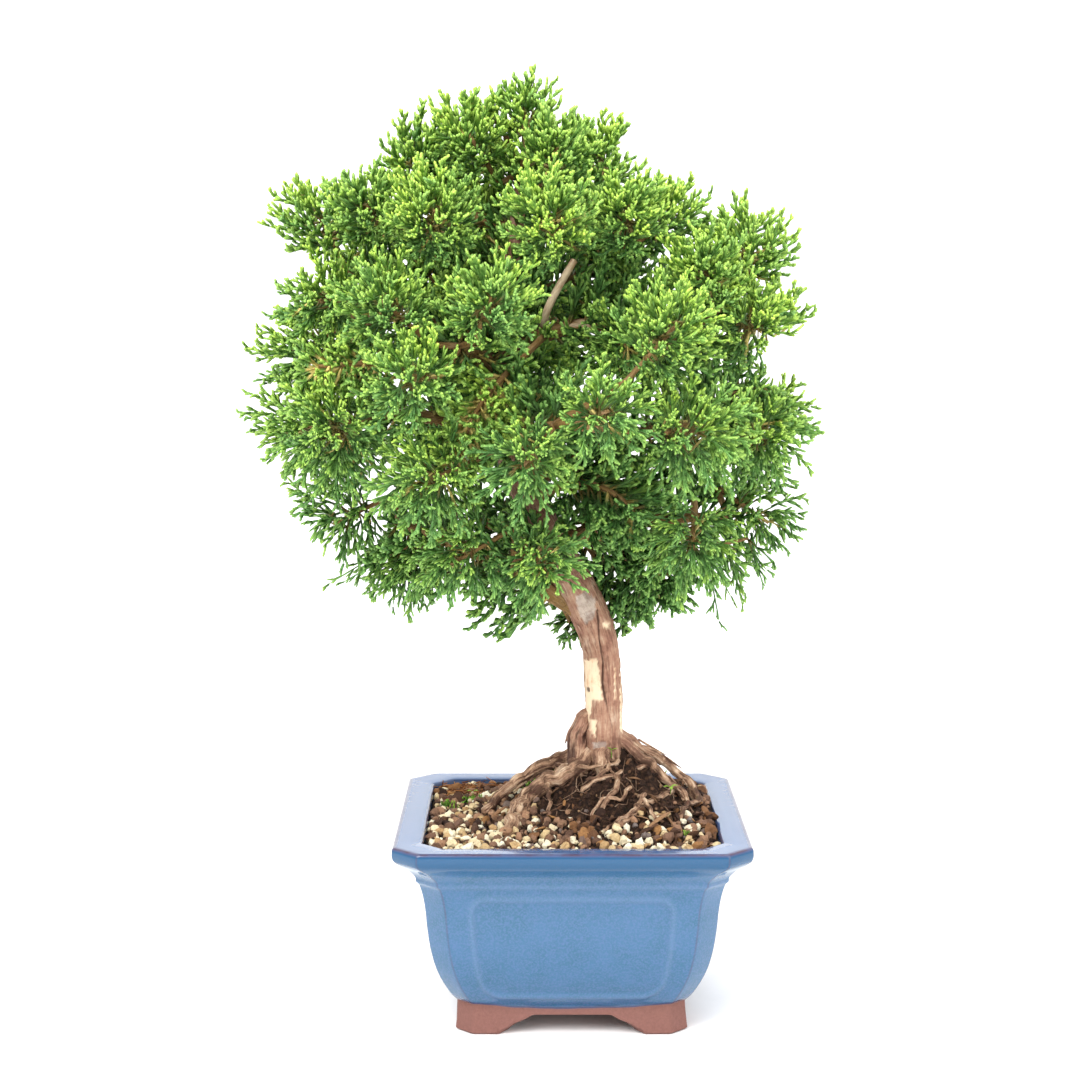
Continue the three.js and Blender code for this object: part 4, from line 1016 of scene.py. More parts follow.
def marked(px, pz, outlines):
    return np.clip(np.max([inside_by(px, pz, outline) for outline in outlines], axis=0) / 0.45, 0, 1)


skin_points = trunk_skin[0]
tx, ty, tz = skin_points.T
in_front = ty < FRONT_DEPTH
bare_share = marked(tx, tz, BARE_OUTLINES) * in_front
grey_share = marked(tx, tz, GREY_OUTLINES) * in_front
barkless = np.maximum(bare_share, grey_share)
crack_x = np.interp(tz, [z for _, z in OPEN_CRACK][::-1], [x for x, _ in OPEN_CRACK][::-1])
crack = np.exp(-((tx - crack_x) / CRACK_HALF) ** 2) * in_front
crack *= np.clip((tz - CRACK_FOOT) / 14, 0, 1) * (tz < CRACK_TOP)
knot = np.exp(-((tx - KNOT[0]) ** 2 + (tz - KNOT[1]) ** 2) / 0.7) * in_front
ridges = np.abs(np.sin(tx * 0.9 + 1.2 * np.sin(tz * 0.11) + 0.5 * np.sin(tz * 0.31))) ** 0.5
stand = BARK_STEP * (0.4 - bare_share * 0.9 - grey_share * 0.5) + 0.25 * (ridges - 0.7) * (1 - bare_share)
stand -= CRACK_DEPTH * crack + KNOT_DEPTH * knot
stand -= TRUNK_GIRTH * trunk_skin[3] * barkless
trunk_line = limb_curve(TRUNK, np.linspace(0, 1, 400))
middle_at = np.column_stack([np.interp(tz, trunk_line[:, 2], trunk_line[:, k]) for k in (0, 1)])
outward = unit(skin_points[:, :2] - middle_at)
low_part = (tz < MARKED_TOP)[:, None]
trunk_skin[0] = skin_points + np.column_stack([outward * stand[:, None] * low_part, np.zeros(len(tz))])
# The open crack and the knot are set deeper in the depth mark, so painted shade falls in them; bare and
# grey wood takes little of it
trunk_skin[3] = trunk_skin[3] * (1 - 0.9 * barkless) - 0.2 * crack - 0.3 * knot
add_wood(trunk_skin)

# The surface roots, and the knob that bulges on the trunk's left where an old root was lost
ROOT_GIRTH = 0.9
FRONT_LEFT_GIRTH = 1.08
ROOT_RELIEF = 1.3
KNOB_RELIEF = 2.2
KNOB_SHADE = -0.1
for number, (name, places) in enumerate(ROOTS.items()):
    thick = places[1][3] > 2
    sides, cords, gap, drift = (22, 7, 1.2, 0.4) if thick else (10, 4, 1.5, 0.25)
    girth = FRONT_LEFT_GIRTH if name == "front_left" else ROOT_GIRTH
    slimmer = [(x, y, z, radius * girth) for x, y, z, radius in places]
    relief = KNOB_RELIEF if name == "knob" else ROOT_RELIEF
    skin = limb_skin(slimmer, sides, even_shares(places, gap), 20 + number, cords, relief, drift)
    add_wood(skin, KNOB_SHADE if name == "knob" else 0.0)

# Thin roots that cross the mound's face, and hair roots in the earth between them
THIN_ROOTS = [
    [(-6, -3, 106.5, 1.0), (2, -8, 107.6, 0.9), (10, -12, 107.4, 0.8), (16, -10, 107.5, 0.6)],
    [(20.5, -6, 109.5, 1.1), (16.5, -11, 106.5, 1.0), (12, -14, 104.5, 0.9), (6.5, -16, 102.5, 0.7)],
    [(25.4, -18.1, 99.8, 1.0), (22.5, -23.5, 96.9, 0.9), (14, -25, 96.2, 0.8), (8.7, -33, 91.5, 0.7)],
    [(31.4, -20.0, 97.0, 1.2), (26.5, -30, 92.6, 1.0), (17, -39, 88.6, 0.8), (13, -43, 86.6, 0.6)],
    [(29.6, -20.0, 97.0, 1.1), (33.6, -28.0, 92.6, 1.0), (35.5, -33.5, 89.6, 0.8)],
    [(57.9, -2, 91.0, 1.3), (50.8, -15.0, 91.6, 1.2), (46.6, -26.0, 89.2, 1.0), (45, -31, 86.5, 0.8)],
    [(-4.7, 0.0, 103.5, 1.2), (-10.0, -9.0, 99.0, 1.1), (-9.0, -18.0, 94.6, 0.9), (-12, -26, 89.5, 0.7)],
    [(16, -8, 112.5, 0.7), (17, -10, 107.5, 0.6), (19, -14, 103.0, 0.5)],
]
HAIR_ROOTS = 64
HAIR_STEP = 2.6
HAIR_SHADE = -0.1
for number, places in enumerate(THIN_ROOTS):
    add_wood(limb_skin(places, 6, even_shares(places, 1.6), 180 + number, 3, 1.5, 0.5))
draw = np.random.default_rng(77)
for number in range(HAIR_ROOTS):
    away = draw.uniform(10, 38)
    turn = draw.uniform(-math.pi, 0.3)
    heading = turn + draw.normal(0, 0.7)
    hair = []
    for step in range(4):
        hx = MOUND_TOP[0] + away * math.cos(turn) + step * HAIR_STEP * math.cos(heading)
        hy = MOUND_TOP[1] + away * math.sin(turn) + step * HAIR_STEP * math.sin(heading)
        heading += draw.normal(0, 0.5)
        hair.append((hx, hy, float(soil_top(hx, hy)) + draw.uniform(0.1, 1.1), draw.uniform(0.16, 0.34)))
    points, quads, caps, depth, grain = limb_skin(hair, 3, np.linspace(0, 1, 5), 300 + number, 3)
    wood_skins.append((points, quads, caps, np.full(len(depth), HAIR_SHADE), grain))

# Slivers of bark that peel along the trunk and the thick roots
SLIVERS = 110
TRUNK_SLIVERS = 70
SLIVER_THICKNESS = (0.5, 0.55, 0.15)
thick_roots = list(ROOTS.values())[:7]
for number in range(SLIVERS):
    on_trunk = number < TRUNK_SLIVERS
    row = TRUNK if on_trunk else thick_roots[draw.integers(0, 7)]
    first = draw.uniform(0.14, 0.58) if on_trunk else draw.uniform(0.1, 0.75)
    stretch = draw.uniform(0.01, 0.035) if on_trunk else draw.uniform(0.05, 0.16)
    shares = np.array([first, first + stretch * 0.5, first + stretch])
    spots = limb_curve(row, shares)
    along, side, third = frames_along(spots)
    turn = draw.uniform(0, 2 * math.pi)
    away = limb_radius(row, shares) + np.array([0.1, 0.25, draw.uniform(0.3, 1.1)])
    spots = spots + (side * math.cos(turn) + third * math.sin(turn)) * away[:, None]
    mx, my, mz = spots[1]
    over_marks = marked(np.array([mx]), np.array([mz]), BARE_OUTLINES + GREY_OUTLINES)[0] > 0
    if my < FRONT_DEPTH and over_marks:
        continue
    places = [(*spot, thickness) for spot, thickness in zip(spots, SLIVER_THICKNESS)]
    add_wood(limb_skin(places, 4, np.linspace(0, 1, 4), 500 + number, 3))

# The limbs with the cut stub, the small twigs, and one twig that bends up into each spray
LIMB_SHADE = -0.03
TWIG_BEND = 5.5
TWIG_TAPER = (1.3, 1.0, 0.9, 0.6)
limbs_from = sum(len(skin[0]) for skin in wood_skins)
for number, (name, places) in enumerate({**LIMBS, **SMALL_TWIGS}.items()):
    is_stub = name == "cut_stub"
    if is_stub:
        places = [(x, y, z, radius * CUT_STUB_GIRTH) for x, y, z, radius in places]
    skin = limb_skin(places, 10, even_shares(places, 3.2), 60 + number, 5, 1.2)
    add_wood(skin, 0.0 if is_stub else LIMB_SHADE)
for number, spray in enumerate(SPRAYS):
    site, stem, axis = spray["site"], spray["stem"], spray["axis"]
    bent = stem - axis * TWIG_BEND
    core = spray["middle"] + axis * spray["reach"] * 0.1
    run = [(*spot, TWIG_RADIUS * share) for spot, share in zip((site, bent, stem, core), TWIG_TAPER)]
    add_wood(limb_skin(run, 5, even_shares(run, 5.0), 120 + number, 3), LIMB_SHADE)

# All of it as one piece. Its points carry how deep in the bark they lie, their place in the grain, and
# where the wood is bare, weathered grey, a root or a limb
ROOTS_BELOW = 122
LIMB_DULL = 0.85
STUB_MIDDLE = (-5, -15)
STUB_ROOM = (12, 7)
STUB_HEIGHTS = (298, 330)
STUB_BARE = 0.85
STUB_OCHRE = 0.15
firsts = np.cumsum([0] + [len(skin[0]) for skin in wood_skins])
wood_quads = np.concatenate([skin[1] + first for skin, first in zip(wood_skins, firsts)])
wood_caps = np.concatenate([skin[2] + first for skin, first in zip(wood_skins, firsts)])
wood_points, wood_depth, wood_grain = (np.concatenate([skin[k] for skin in wood_skins]) for k in (0, 3, 4))
wx, wy, wz = wood_points.T
dull_share = np.clip((ROOTS_BELOW - wz) / 14, 0, 1)
dull_share[limbs_from:] = LIMB_DULL
stub_share = (np.abs(wx - STUB_MIDDLE[0]) < STUB_ROOM[0]) & (np.abs(wy - STUB_MIDDLE[1]) < STUB_ROOM[1])
stub_share &= (wz > STUB_HEIGHTS[0]) & (wz < STUB_HEIGHTS[1])
limb_share = np.zeros(len(wood_points))
limb_share[limbs_from:] = 1.0
limb_share[stub_share] = STUB_OCHRE
rest_of_wood = (0, len(wood_points) - len(skin_points))
tree_wood = mesh_object("trunk_roots_and_limbs", wood_points, [wood_quads, wood_caps], {
    "depth": wood_depth, "grain": wood_grain * MM,
    "bare": np.maximum(np.pad(bare_share, rest_of_wood), STUB_BARE * stub_share),
    "grey": np.pad(grey_share, rest_of_wood), "rootward": dull_share, "limb": limb_share,
})

BARK_DARK = paint(118, 78, 64)
BARK_RED = paint(156, 114, 94)
BARK_PINK = paint(174, 136, 112)
BARK_PALE = paint(200, 172, 148)
CRACK_SHADE = paint(64, 40, 32)
CREAM_WOOD = paint(238, 214, 182)
CREAM_SHADE = paint(214, 174, 138)
GREY_WOOD = paint(204, 188, 174)
GREY_SHADE = paint(158, 138, 126)
ROOT_TAN = paint(158, 124, 98)
ROOT_SHADE = paint(82, 58, 44)
ROOT_PALE = paint(212, 186, 158)
TWIG_OCHRE = paint(136, 106, 54)
BARK_STOPS = [(0.26, BARK_DARK), (0.42, BARK_RED), (0.56, BARK_PINK), (0.74, BARK_PALE)]
ROOT_STOPS = [(0.4, ROOT_SHADE), (0.52, ROOT_TAN), (0.68, ROOT_PALE)]
CRACK_LINE_SHADE_SHARE = 0.5
GREY_SHARE = 0.9
CRACK_SHADING_SHARE = 0.85
OCHRE_SHARE = 0.75
bark, tree, shader = new_finish("stringy_juniper_bark")
grain = mark(tree, "grain", out=1)
drawn = wire(tree, "Mapping", {"Vector": grain, "Scale": (1.0, 1.0, 0.11)})
strings = mottling(tree, drawn, 1100.0, 6.0, 0.62)
long_cracks = mottling(tree, drawn, 330.0, 3.0, 0.55)
patches = mottling(tree, grain, 130.0, 5.0, 0.65)
depth = mark(tree, "depth")
bare = mark(tree, "bare")
grey = mark(tree, "grey")
rootward = mark(tree, "rootward")
blend = sums(tree, "MULTIPLY_ADD", patches, 0.95, sums(tree, "MULTIPLY_ADD", strings, 0.6, -0.275))
stem_colour = ramp(tree, blend, BARK_STOPS)
root_colour = ramp(tree, blend, ROOT_STOPS)
colour = blend_colours(tree, rootward, stem_colour, root_colour)
# Thin lengthwise cracks: grooves in the bump, with painted shade laid along them in the dark bark colour
line = sums(tree, "ABSOLUTE", sums(tree, "SUBTRACT", long_cracks, 0.5))
line = fade(tree, line, 0.02, 0.004)
colour = tinge(tree, line, CRACK_LINE_SHADE_SHARE, colour, BARK_DARK)
cream = ramp(tree, blend, [(0.34, CREAM_SHADE), (0.5, CREAM_WOOD)])
colour = blend_colours(tree, bare, colour, cream)
weathered = ramp(tree, patches, [(0.4, GREY_SHADE), (0.56, GREY_WOOD)])
colour = tinge(tree, grey, GREY_SHARE, colour, weathered)
# Painted shade in the bark's cracks and hollows: the deeper a point lies in the depth mark, the more it
# takes the dark crack colour
crack_shading = fade(tree, depth, -0.045, -0.15)
colour = tinge(tree, crack_shading, CRACK_SHADING_SHARE, colour, CRACK_SHADE)
colour = tinge(tree, mark(tree, "limb"), OCHRE_SHARE, colour, TWIG_OCHRE)
coat(tree, shader, colour, 0.8, 0.3)
smoother = wire(tree, "MapRange", {"Value": bare, "To Min": 1.0, "To Max": 0.25})
stringy = sums(tree, "MULTIPLY_ADD", line, -0.4, strings)
raised(tree, shader, sums(tree, "MULTIPLY", stringy, smoother), 0.0011, 0.8)
tree_wood.data.materials.append(bark)
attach(tree_wood, "root")
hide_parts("tree_wood")


# The foliage
# Fifty-five sprays of scale foliage. In each, shoots leave the twig's end on every side and carry
# short fleshy cords that fork again. The growing tips are light green, the old stems inside brown.

# How each tier of the crown grows: main shoots in a spray, gap between side cords, their length and
# thickness, rings in each, how they lift and bow, their painted light, and the reach of the shoots' tips
GROWTH = {
    "crown": {
        "shoots": 40, "gap": 2.5, "side": 8.2, "cord": 0.86, "rings": 2,
        "lift": 0.4, "bow": 0.35, "painted_light": 0.62, "tips": (0.8, 1.0),
    },
    "upper": {
        "shoots": 40, "gap": 2.5, "side": 8.4, "cord": 0.84, "rings": 2,
        "lift": 0.35, "bow": 0.3, "painted_light": 0.5, "tips": (0.74, 0.92),
    },
    "middle": {
        "shoots": 40, "gap": 2.6, "side": 8.8, "cord": 0.8, "rings": 2,
        "lift": 0.22, "bow": 0.15, "painted_light": 0.36, "tips": (0.8, 1.08),
    },
    "lower": {
        "shoots": 33, "gap": 3.0, "side": 9.8, "cord": 0.76, "rings": 2,
        "lift": 0.02, "bow": -0.1, "painted_light": 0.22, "tips": (0.8, 1.08),
    },
    "hanging": {
        "shoots": 28, "gap": 3.5, "side": 10.5, "cord": 0.7, "rings": 3,
        "lift": -0.22, "bow": -0.4, "painted_light": 0.12, "tips": (0.68, 0.94),
    },
}
HANG_STRETCH = 1.1
# Heights of the crown's underside from left to right, which the sprays' shoots stop at. It rises to
# the front.
UNDERSIDE_X = [-134, -118, -104, -88, -70, -50, -30, -10, 4, 30, 50, 70, 82, 92, 100, 108]
UNDERSIDE_Z = [246, 222, 203, 186, 178, 178, 174, 166, 156, 168, 174, 183, 193, 198, 212, 232]
UNDERSIDE_RISE = 0.15
ROOT_SCATTER = 0.09
WIDER_SPRAYS = {"foliage_lower_1": 1.1, "foliage_middle_4": 1.1, "foliage_lower_8": 1.06}
GOLDEN_TURN = math.pi * (3 - math.sqrt(5))
BARE_SHARE = 0.2
FORK_SPOTS = (0.3, 0.58)
TIP_FROM = 0.86
TREE_AXIS = (-14.0, 0.0)
TREE_REACH = 118.0
# What stays clear: the cut stub and the bend of the bare trunk as the front shows them, and the
# notches in the crown's outline. Each is a line in x and z with the room round it and the depth in
# front of which nothing grows.
ALL_DEPTHS = 200.0
KEPT_CLEAR = [
    ((-9.0, 303.0), (2.0, 328.0), 3.2, -9.0),
    ((0.0, 186.0), (14.0, 160.0), 8.5, 4.0),
    ((84.0, 286.0), (106.0, 284.0), 3.6, ALL_DEPTHS),
    ((-132.0, 328.0), (-114.0, 326.0), 2.6, ALL_DEPTHS),
    ((28.0, 378.0), (44.0, 368.0), 5.5, ALL_DEPTHS),
    ((58.0, 366.0), (70.0, 362.0), 6.0, ALL_DEPTHS),
    ((-88.0, 372.0), (-96.0, 388.0), 5.0, ALL_DEPTHS),
    ((-86.0, 393.0), (-78.0, 396.0), 5.0, ALL_DEPTHS),
    ((82.0, 357.0), (98.0, 351.0), 5.0, ALL_DEPTHS),
    ((-91.0, 379.0), (-71.0, 401.0), 7.0, ALL_DEPTHS),
    ((-114.0, 368.0), (-100.0, 367.0), 5.0, ALL_DEPTHS),
    ((96.0, 292.0), (106.0, 296.0), 4.0, ALL_DEPTHS),
]


def cross_frame(heading):
    """Two directions square to each heading and to each other."""
    helper = np.where(np.abs(heading[:, 2:3]) > 0.9, np.array([[1.0, 0, 0]]), UP[None])
    side = unit(helper - heading * np.sum(helper * heading, axis=1, keepdims=True))
    return side, np.cross(heading, side)


def along_cord(cord, share):
    """Places part way along curved cords, which are (root, heading, length, bow)."""
    root, heading, length, bow = cord
    return root + heading * (length * share)[:, None] + bow * (length * share ** 2)[:, None]


def chosen(cord, which):
    return tuple(part[which] for part in cord)


def out_of_the_way(cord):
    """True for cords that leave in sight what the front shows."""
    clear = np.ones(len(cord[0]), dtype=bool)
    for (x0, z0), (x1, z1), room, depth in KEPT_CLEAR:
        run = np.array([x1 - x0, z1 - z0])
        for share in (0.1, 0.4, 0.7, 1.0):
            spot = along_cord(cord, np.full(len(clear), share))
            away = spot[:, [0, 2]] - np.array([x0, z0])
            part = np.clip(away @ run / run.dot(run), 0, 1)
            near = np.linalg.norm(away - part[:, None] * run, axis=1) < room
            clear &= ~(near & (spot[:, 1] < depth))
    return clear


def cord_skin(cord, radius, rings, age0, age1, tone):
    """Three-sided cords with blunt tips, closed at both ends, with their age and their shoot's tone."""
    count = len(radius)
    side, third = cross_frame(cord[1])
    points = np.zeros((count, rings * 3 + 1, 3))
    age = np.zeros((count, rings * 3 + 1))
    for ring, share in enumerate(np.linspace(0, TIP_FROM, rings)):
        middle = along_cord(cord, np.full(count, share))
        girth = radius * (0.95 if ring < rings - 1 else 0.84)
        for corner in range(3):
            turn = corner * 2 * math.pi / 3 + ring * 0.5
            spot = middle + (side * math.cos(turn) + third * math.sin(turn)) * girth[:, None]
            points[:, ring * 3 + corner] = spot
        age[:, ring * 3:ring * 3 + 3] = age0 + (age1 - age0) * share
    points[:, -1] = along_cord(cord, np.ones(count))
    age[:, -1] = age1
    faces = [(0, 2, 1)]
    for ring in range(rings - 1):
        for corner in range(3):
            a = ring * 3 + corner
            b = ring * 3 + (corner + 1) % 3
            faces += [(a, b, b + 3), (a, b + 3, a + 3)]
    top = (rings - 1) * 3
    faces += [(top + corner, top + (corner + 1) % 3, rings * 3) for corner in range(3)]
    faces = np.array(faces)[None] + (np.arange(count) * (rings * 3 + 1))[:, None, None]
    marks = np.column_stack([age.ravel(), np.repeat(tone, rings * 3 + 1, axis=0)])
    return points.reshape(-1, 3), faces.reshape(-1, 3), marks


def side_cords(draw, parent, owner, share, phase, spread, size, lift):
    """Cords that leave their parents part way up, at a slant and turned by phase, and bend with lift."""
    bud = along_cord(chosen(parent, owner), share)
    ahead = unit(parent[1][owner] + 2 * parent[3][owner] * share[:, None])
    side, third = cross_frame(ahead)
    slant = draw.uniform(*spread, len(owner))[:, None]
    outward = side * np.cos(phase)[:, None] + third * np.sin(phase)[:, None]
    out = ahead * np.cos(slant) + outward * np.sin(slant)
    out = unit(out + UP[None] * lift * 0.5)
    curl = UP[None] * lift * 0.5 + draw.normal(0, 0.06, (len(owner), 3)) - (out - ahead) * 0.2
    return bud, out, size, curl


def clothe(draw, shoots, painted_light, growth, youngest=0.0):
    """Shoots with their side cords and forks: points, faces and marks."""
    kept = out_of_the_way(shoots)
    shoots, painted_light = chosen(shoots, kept), painted_light[kept]
    count = len(painted_light)
    tone = np.column_stack([draw.uniform(youngest, 1, count), painted_light])
    lots = [cord_skin(shoots, np.full(count, growth["cord"] * 0.78), 5, 0.0, 0.85, tone)]
    length = shoots[2]
    most = int(np.ceil((1 - BARE_SHARE) * length.max() / growth["gap"]))
    steps_down = np.arange(most)[None, :] + draw.uniform(0, 0.6, (count, 1))
    share = 0.96 - steps_down * (growth["gap"] / length)[:, None]
    owner, step = np.nonzero(share > BARE_SHARE)
    share = share[owner, step]
    phase = step * 2.2 + draw.uniform(-0.5, 0.5, len(owner)) + tone[owner, 0] * 6
    size = growth["side"] * draw.uniform(0.75, 1.15, len(owner)) * (1.15 - 0.72 * share)
    sides = side_cords(draw, shoots, owner, share, phase, (0.42, 0.75), size, growth["lift"])
    kept = out_of_the_way(sides)
    sides, owner, phase, share = chosen(sides, kept), owner[kept], phase[kept], share[kept]
    girth = growth["cord"] * draw.uniform(0.85, 1.12, len(owner))
    side_tone = tone[owner] + np.column_stack([np.zeros(len(owner)), draw.normal(0, 0.1, len(owner))])
    lots.append(cord_skin(sides, girth, growth["rings"], (0.28 + 0.25 * share)[:, None], 0.95, side_tone))
    everyone = np.arange(len(owner))
    for fork_spot in FORK_SPOTS:
        spot = fork_spot + draw.uniform(-0.08, 0.08, len(owner))
        phase = phase + 2.4 + draw.uniform(-0.6, 0.6, len(owner))
        small = sides[2] * draw.uniform(0.45, 0.68, len(owner))
        twins = side_cords(draw, sides, everyone, spot, phase, (0.4, 0.75), small, growth["lift"])
        lots.append(cord_skin(twins, girth * 0.95, 2, 0.6, 1.0, side_tone))
    return gather(lots)


def spray_shoots(draw, spray, growth):
    """The main shoots of one spray, fanning from its stem out to its outline, and their share of painted
    light.
    """
    middle, reach = spray["middle"], spray["reach"] * WIDER_SPRAYS.get(spray["node"], 1.0)
    count = round(growth["shoots"] * (reach / 24) ** 1.3)
    number = np.arange(count)
    level = np.clip(1 - 1.75 * (number + 0.5) / count + draw.uniform(-0.05, 0.05, count), -0.78, 1)
    turn = number * GOLDEN_TURN + draw.uniform(-0.25, 0.25, count)
    ring = np.sqrt(1 - level ** 2)
    heading = (spray["axis"] * level[:, None] + spray["side"] * (np.cos(turn) * ring)[:, None]
               + spray["third"] * (np.sin(turn) * ring)[:, None])
    tip = middle + heading * (reach * draw.uniform(*growth["tips"], count))[:, None]
    if spray["tier"] in ("lower", "hanging"):
        low = tip[:, 2] < middle[2]
        tip[:, 2] = np.where(low, middle[2] + (tip[:, 2] - middle[2]) * HANG_STRETCH, tip[:, 2])
        underside = np.interp(tip[:, 0], UNDERSIDE_X, UNDERSIDE_Z) - tip[:, 1] * UNDERSIDE_RISE
        tip[:, 2] = np.maximum(tip[:, 2], underside + draw.uniform(-3, 6, count))
    root = middle + spray["axis"] * (reach * (-0.3 + 0.3 * level))[:, None]
    root = root + draw.normal(0, ROOT_SCATTER, (count, 3)) * reach
    length = np.linalg.norm(tip - root, axis=1)
    # Painted light and shade: shoots high in their spray and far out from the tree's axis get more painted
    # light, the low and inner ones less, and a little goes by chance
    outer = np.hypot(tip[:, 0] - TREE_AXIS[0], tip[:, 1] - TREE_AXIS[1]) / TREE_REACH
    painted_light = growth["painted_light"] + 0.3 * (tip[:, 2] - middle[2]) / reach + 0.4 * (outer - 0.6)
    painted_light = painted_light + draw.normal(0, 0.1, count)
    bow = (UP[None] * growth["bow"] + draw.normal(0, 0.1, (count, 3))) * 0.7
    return (root, unit(tip - root) - bow, length, bow), painted_light


def add_foliage(name, lot):
    points, faces, marks = lot
    marks = {"age": marks[:, 0], "tint": marks[:, 1], "painted_light": marks[:, 2]}
    shoots = mesh_object(name, points, [faces], marks)
    shoots.data.materials.append(leaf_look)
    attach(shoots, "root")
    return shoots


OLD_BROWN = paint(134, 118, 64)
OLD_AMBER = paint(228, 204, 124)
# Two copies of the greens, one in painted shade and one in painted sunlight
PAINTED_DEEP_SHADE_GREEN = paint(78, 108, 58)
PAINTED_SHADE_GREEN = paint(100, 150, 80)
PAINTED_SHADE_TIP = paint(138, 182, 94)
PAINTED_SUNLIT_GREEN = paint(142, 188, 78)
PAINTED_SUNLIT_TIP = paint(200, 228, 92)
SPOT_SHADE = (0.8, 0.83, 0.78, 1)
SCALE_EDGE = (0.8, 0.84, 0.76, 1)
# How far cloudy patches shift the painted light and shade
PAINTED_LIGHT_DRIFT = 1.9
WHIP_TINT = 0.93
leaf_look, tree, shader = new_finish("juniper_scale_foliage")
where = wire(tree, "TexCoord", out=3)
age = mark(tree, "age")
tint = mark(tree, "tint")
painted_light = mark(tree, "painted_light")
scales = wire(tree, "TexVoronoi", {"Vector": where, "Scale": 1400.0})
mottle = mottling(tree, where, 260.0, 3.0)
painted_light_patches = mottling(tree, where, 42.0)
old = ramp(tree, tint, [(0.82, OLD_BROWN), (WHIP_TINT, OLD_AMBER)])
# The greens are painted lit or shaded by each shoot's share of painted light, shifted by cloudy patches; in
# both copies the young tips are lighter
painted_shade_greens = ramp(tree, age, [(0.3, PAINTED_DEEP_SHADE_GREEN), (0.66, PAINTED_SHADE_GREEN), (1.0, PAINTED_SHADE_TIP)])
painted_lit_greens = ramp(tree, age, [(0.26, PAINTED_SHADE_GREEN), (0.6, PAINTED_SUNLIT_GREEN), (1.0, PAINTED_SUNLIT_TIP)])
strength = sums(tree, "MULTIPLY_ADD", sums(tree, "SUBTRACT", painted_light_patches, 0.5), PAINTED_LIGHT_DRIFT, painted_light)
colour = blend_colours(tree, wire(tree, "Clamp", {"Value": strength}), painted_shade_greens, painted_lit_greens)
whip = sums(tree, "GREATER_THAN", tint, WHIP_TINT)
stem_age = sums(tree, "MULTIPLY_ADD", whip, -0.3, age)
colour = blend_colours(tree, fade(tree, stem_age, 0.12, 0.27), old, colour)
darker = ramp(tree, mottle, [(0.3, SPOT_SHADE), (0.62, WHITE)])
colour = blend_colours(tree, 1.0, colour, darker, "MULTIPLY")
scaly = ramp(tree, scales, [(0.0, WHITE), (0.8, SCALE_EDGE)])
coat(tree, shader, blend_colours(tree, 0.7, colour, scaly, "MULTIPLY"), 0.5, 0.35)
raised(tree, shader, scales, 0.0003, 0.4)
for number, spray in enumerate(SPRAYS):
    draw = np.random.default_rng(500 + number)
    growth = GROWTH[spray["tier"]]
    shoots, painted_light_share = spray_shoots(draw, spray, growth)
    shoots = add_foliage(f"{spray['node']}_shoots", clothe(draw, shoots, painted_light_share, growth))
    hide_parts(spray["node"])

# Shaded shoots that grow straight from the limbs and the trunk's top and fill the tree's middle, and
# those of the small twigs. Thin whips hang below the sides, and the fading ones have turned ochre
INNER_GROWTH = {"gap": 3.2, "side": 10.5, "cord": 1.05, "rings": 2, "lift": 0.15}
WHIP_GROWTH = {"gap": 5.5, "side": 9.0, "cord": 0.55, "rings": 2, "lift": -0.1}
INNER_BOW = 0.1
INNER_GAP = 6.2
INNER_PER_SITE = 4
INNER_LENGTH = (24, 40)
FADING_YOUNGEST = 0.94
# Where along a twig the shoots start, how far they turn up, and their share of painted light
INNER_ZONES = {
    "low": (0.2, -0.3, 0.05), "middle": (0.12, 0.05, 0.12), "upper": (0.1, 0.15, 0.25),
    "crown": (0.2, 0.2, 0.4), "trunk": (0.05, 0.2, 0.3), "fading": (0.3, -0.5, 0.6),
    "whips": (0.1, -1.3, 0.25),
}
SHORT_TWIGS = {
    "low_front": 0.75, "low_left": 0.9, "crown_top": 0.45, "fading_front": 0.5, "fading_left": 0.5,
}
inner_rows = {name: places for name, places in LIMBS.items() if name != "cut_stub"}
inner_rows["trunk_top"] = TRUNK[10:]
inner_rows.update(SMALL_TWIGS)
for number, (name, places) in enumerate(inner_rows.items()):
    zone = name.split("_")[0]
    start, rise, zone_painted_light = INNER_ZONES[zone]
    draw = np.random.default_rng(800 + number)
    shares = np.linspace(start, 1, round(run_length(places, 60) / INNER_GAP))
    sites = limb_curve(places, shares)
    along, side, third = frames_along(sites)
    owner = np.repeat(np.arange(len(sites)), INNER_PER_SITE)
    turn = np.arange(len(owner)) * GOLDEN_TURN + draw.uniform(-0.3, 0.3, len(owner))
    heading = side[owner] * np.cos(turn)[:, None] + third[owner] * np.sin(turn)[:, None]
    heading = unit(heading + along[owner] * 0.5 + UP[None] * rise)
    bow = (UP[None] * INNER_BOW + draw.normal(0, 0.12, (len(owner), 3))) * 0.7
    length = draw.uniform(*INNER_LENGTH, len(owner)) * SHORT_TWIGS.get(name, 1.0)
    length = length * (1.1 - 0.35 * shares[owner])
    shoots = (sites[owner], heading - bow * 0.5, length, bow)
    # Each zone gives its shoots their share of painted light; the inner shoots get little and are painted
    # darker, as shade
    painted_light_share = zone_painted_light + draw.normal(0, 0.08, len(owner))
    growth = WHIP_GROWTH if zone == "whips" else INNER_GROWTH
    youngest = FADING_YOUNGEST if zone == "fading" else 0.0
    add_foliage(f"inner_shoots_{name}", clothe(draw, shoots, painted_light_share, growth, youngest))


# The ground cover
# What has come up or fallen between the roots: moss tufts, two seedlings, scraps of bark and a mat of
# orange-brown fibre in the back left corner.

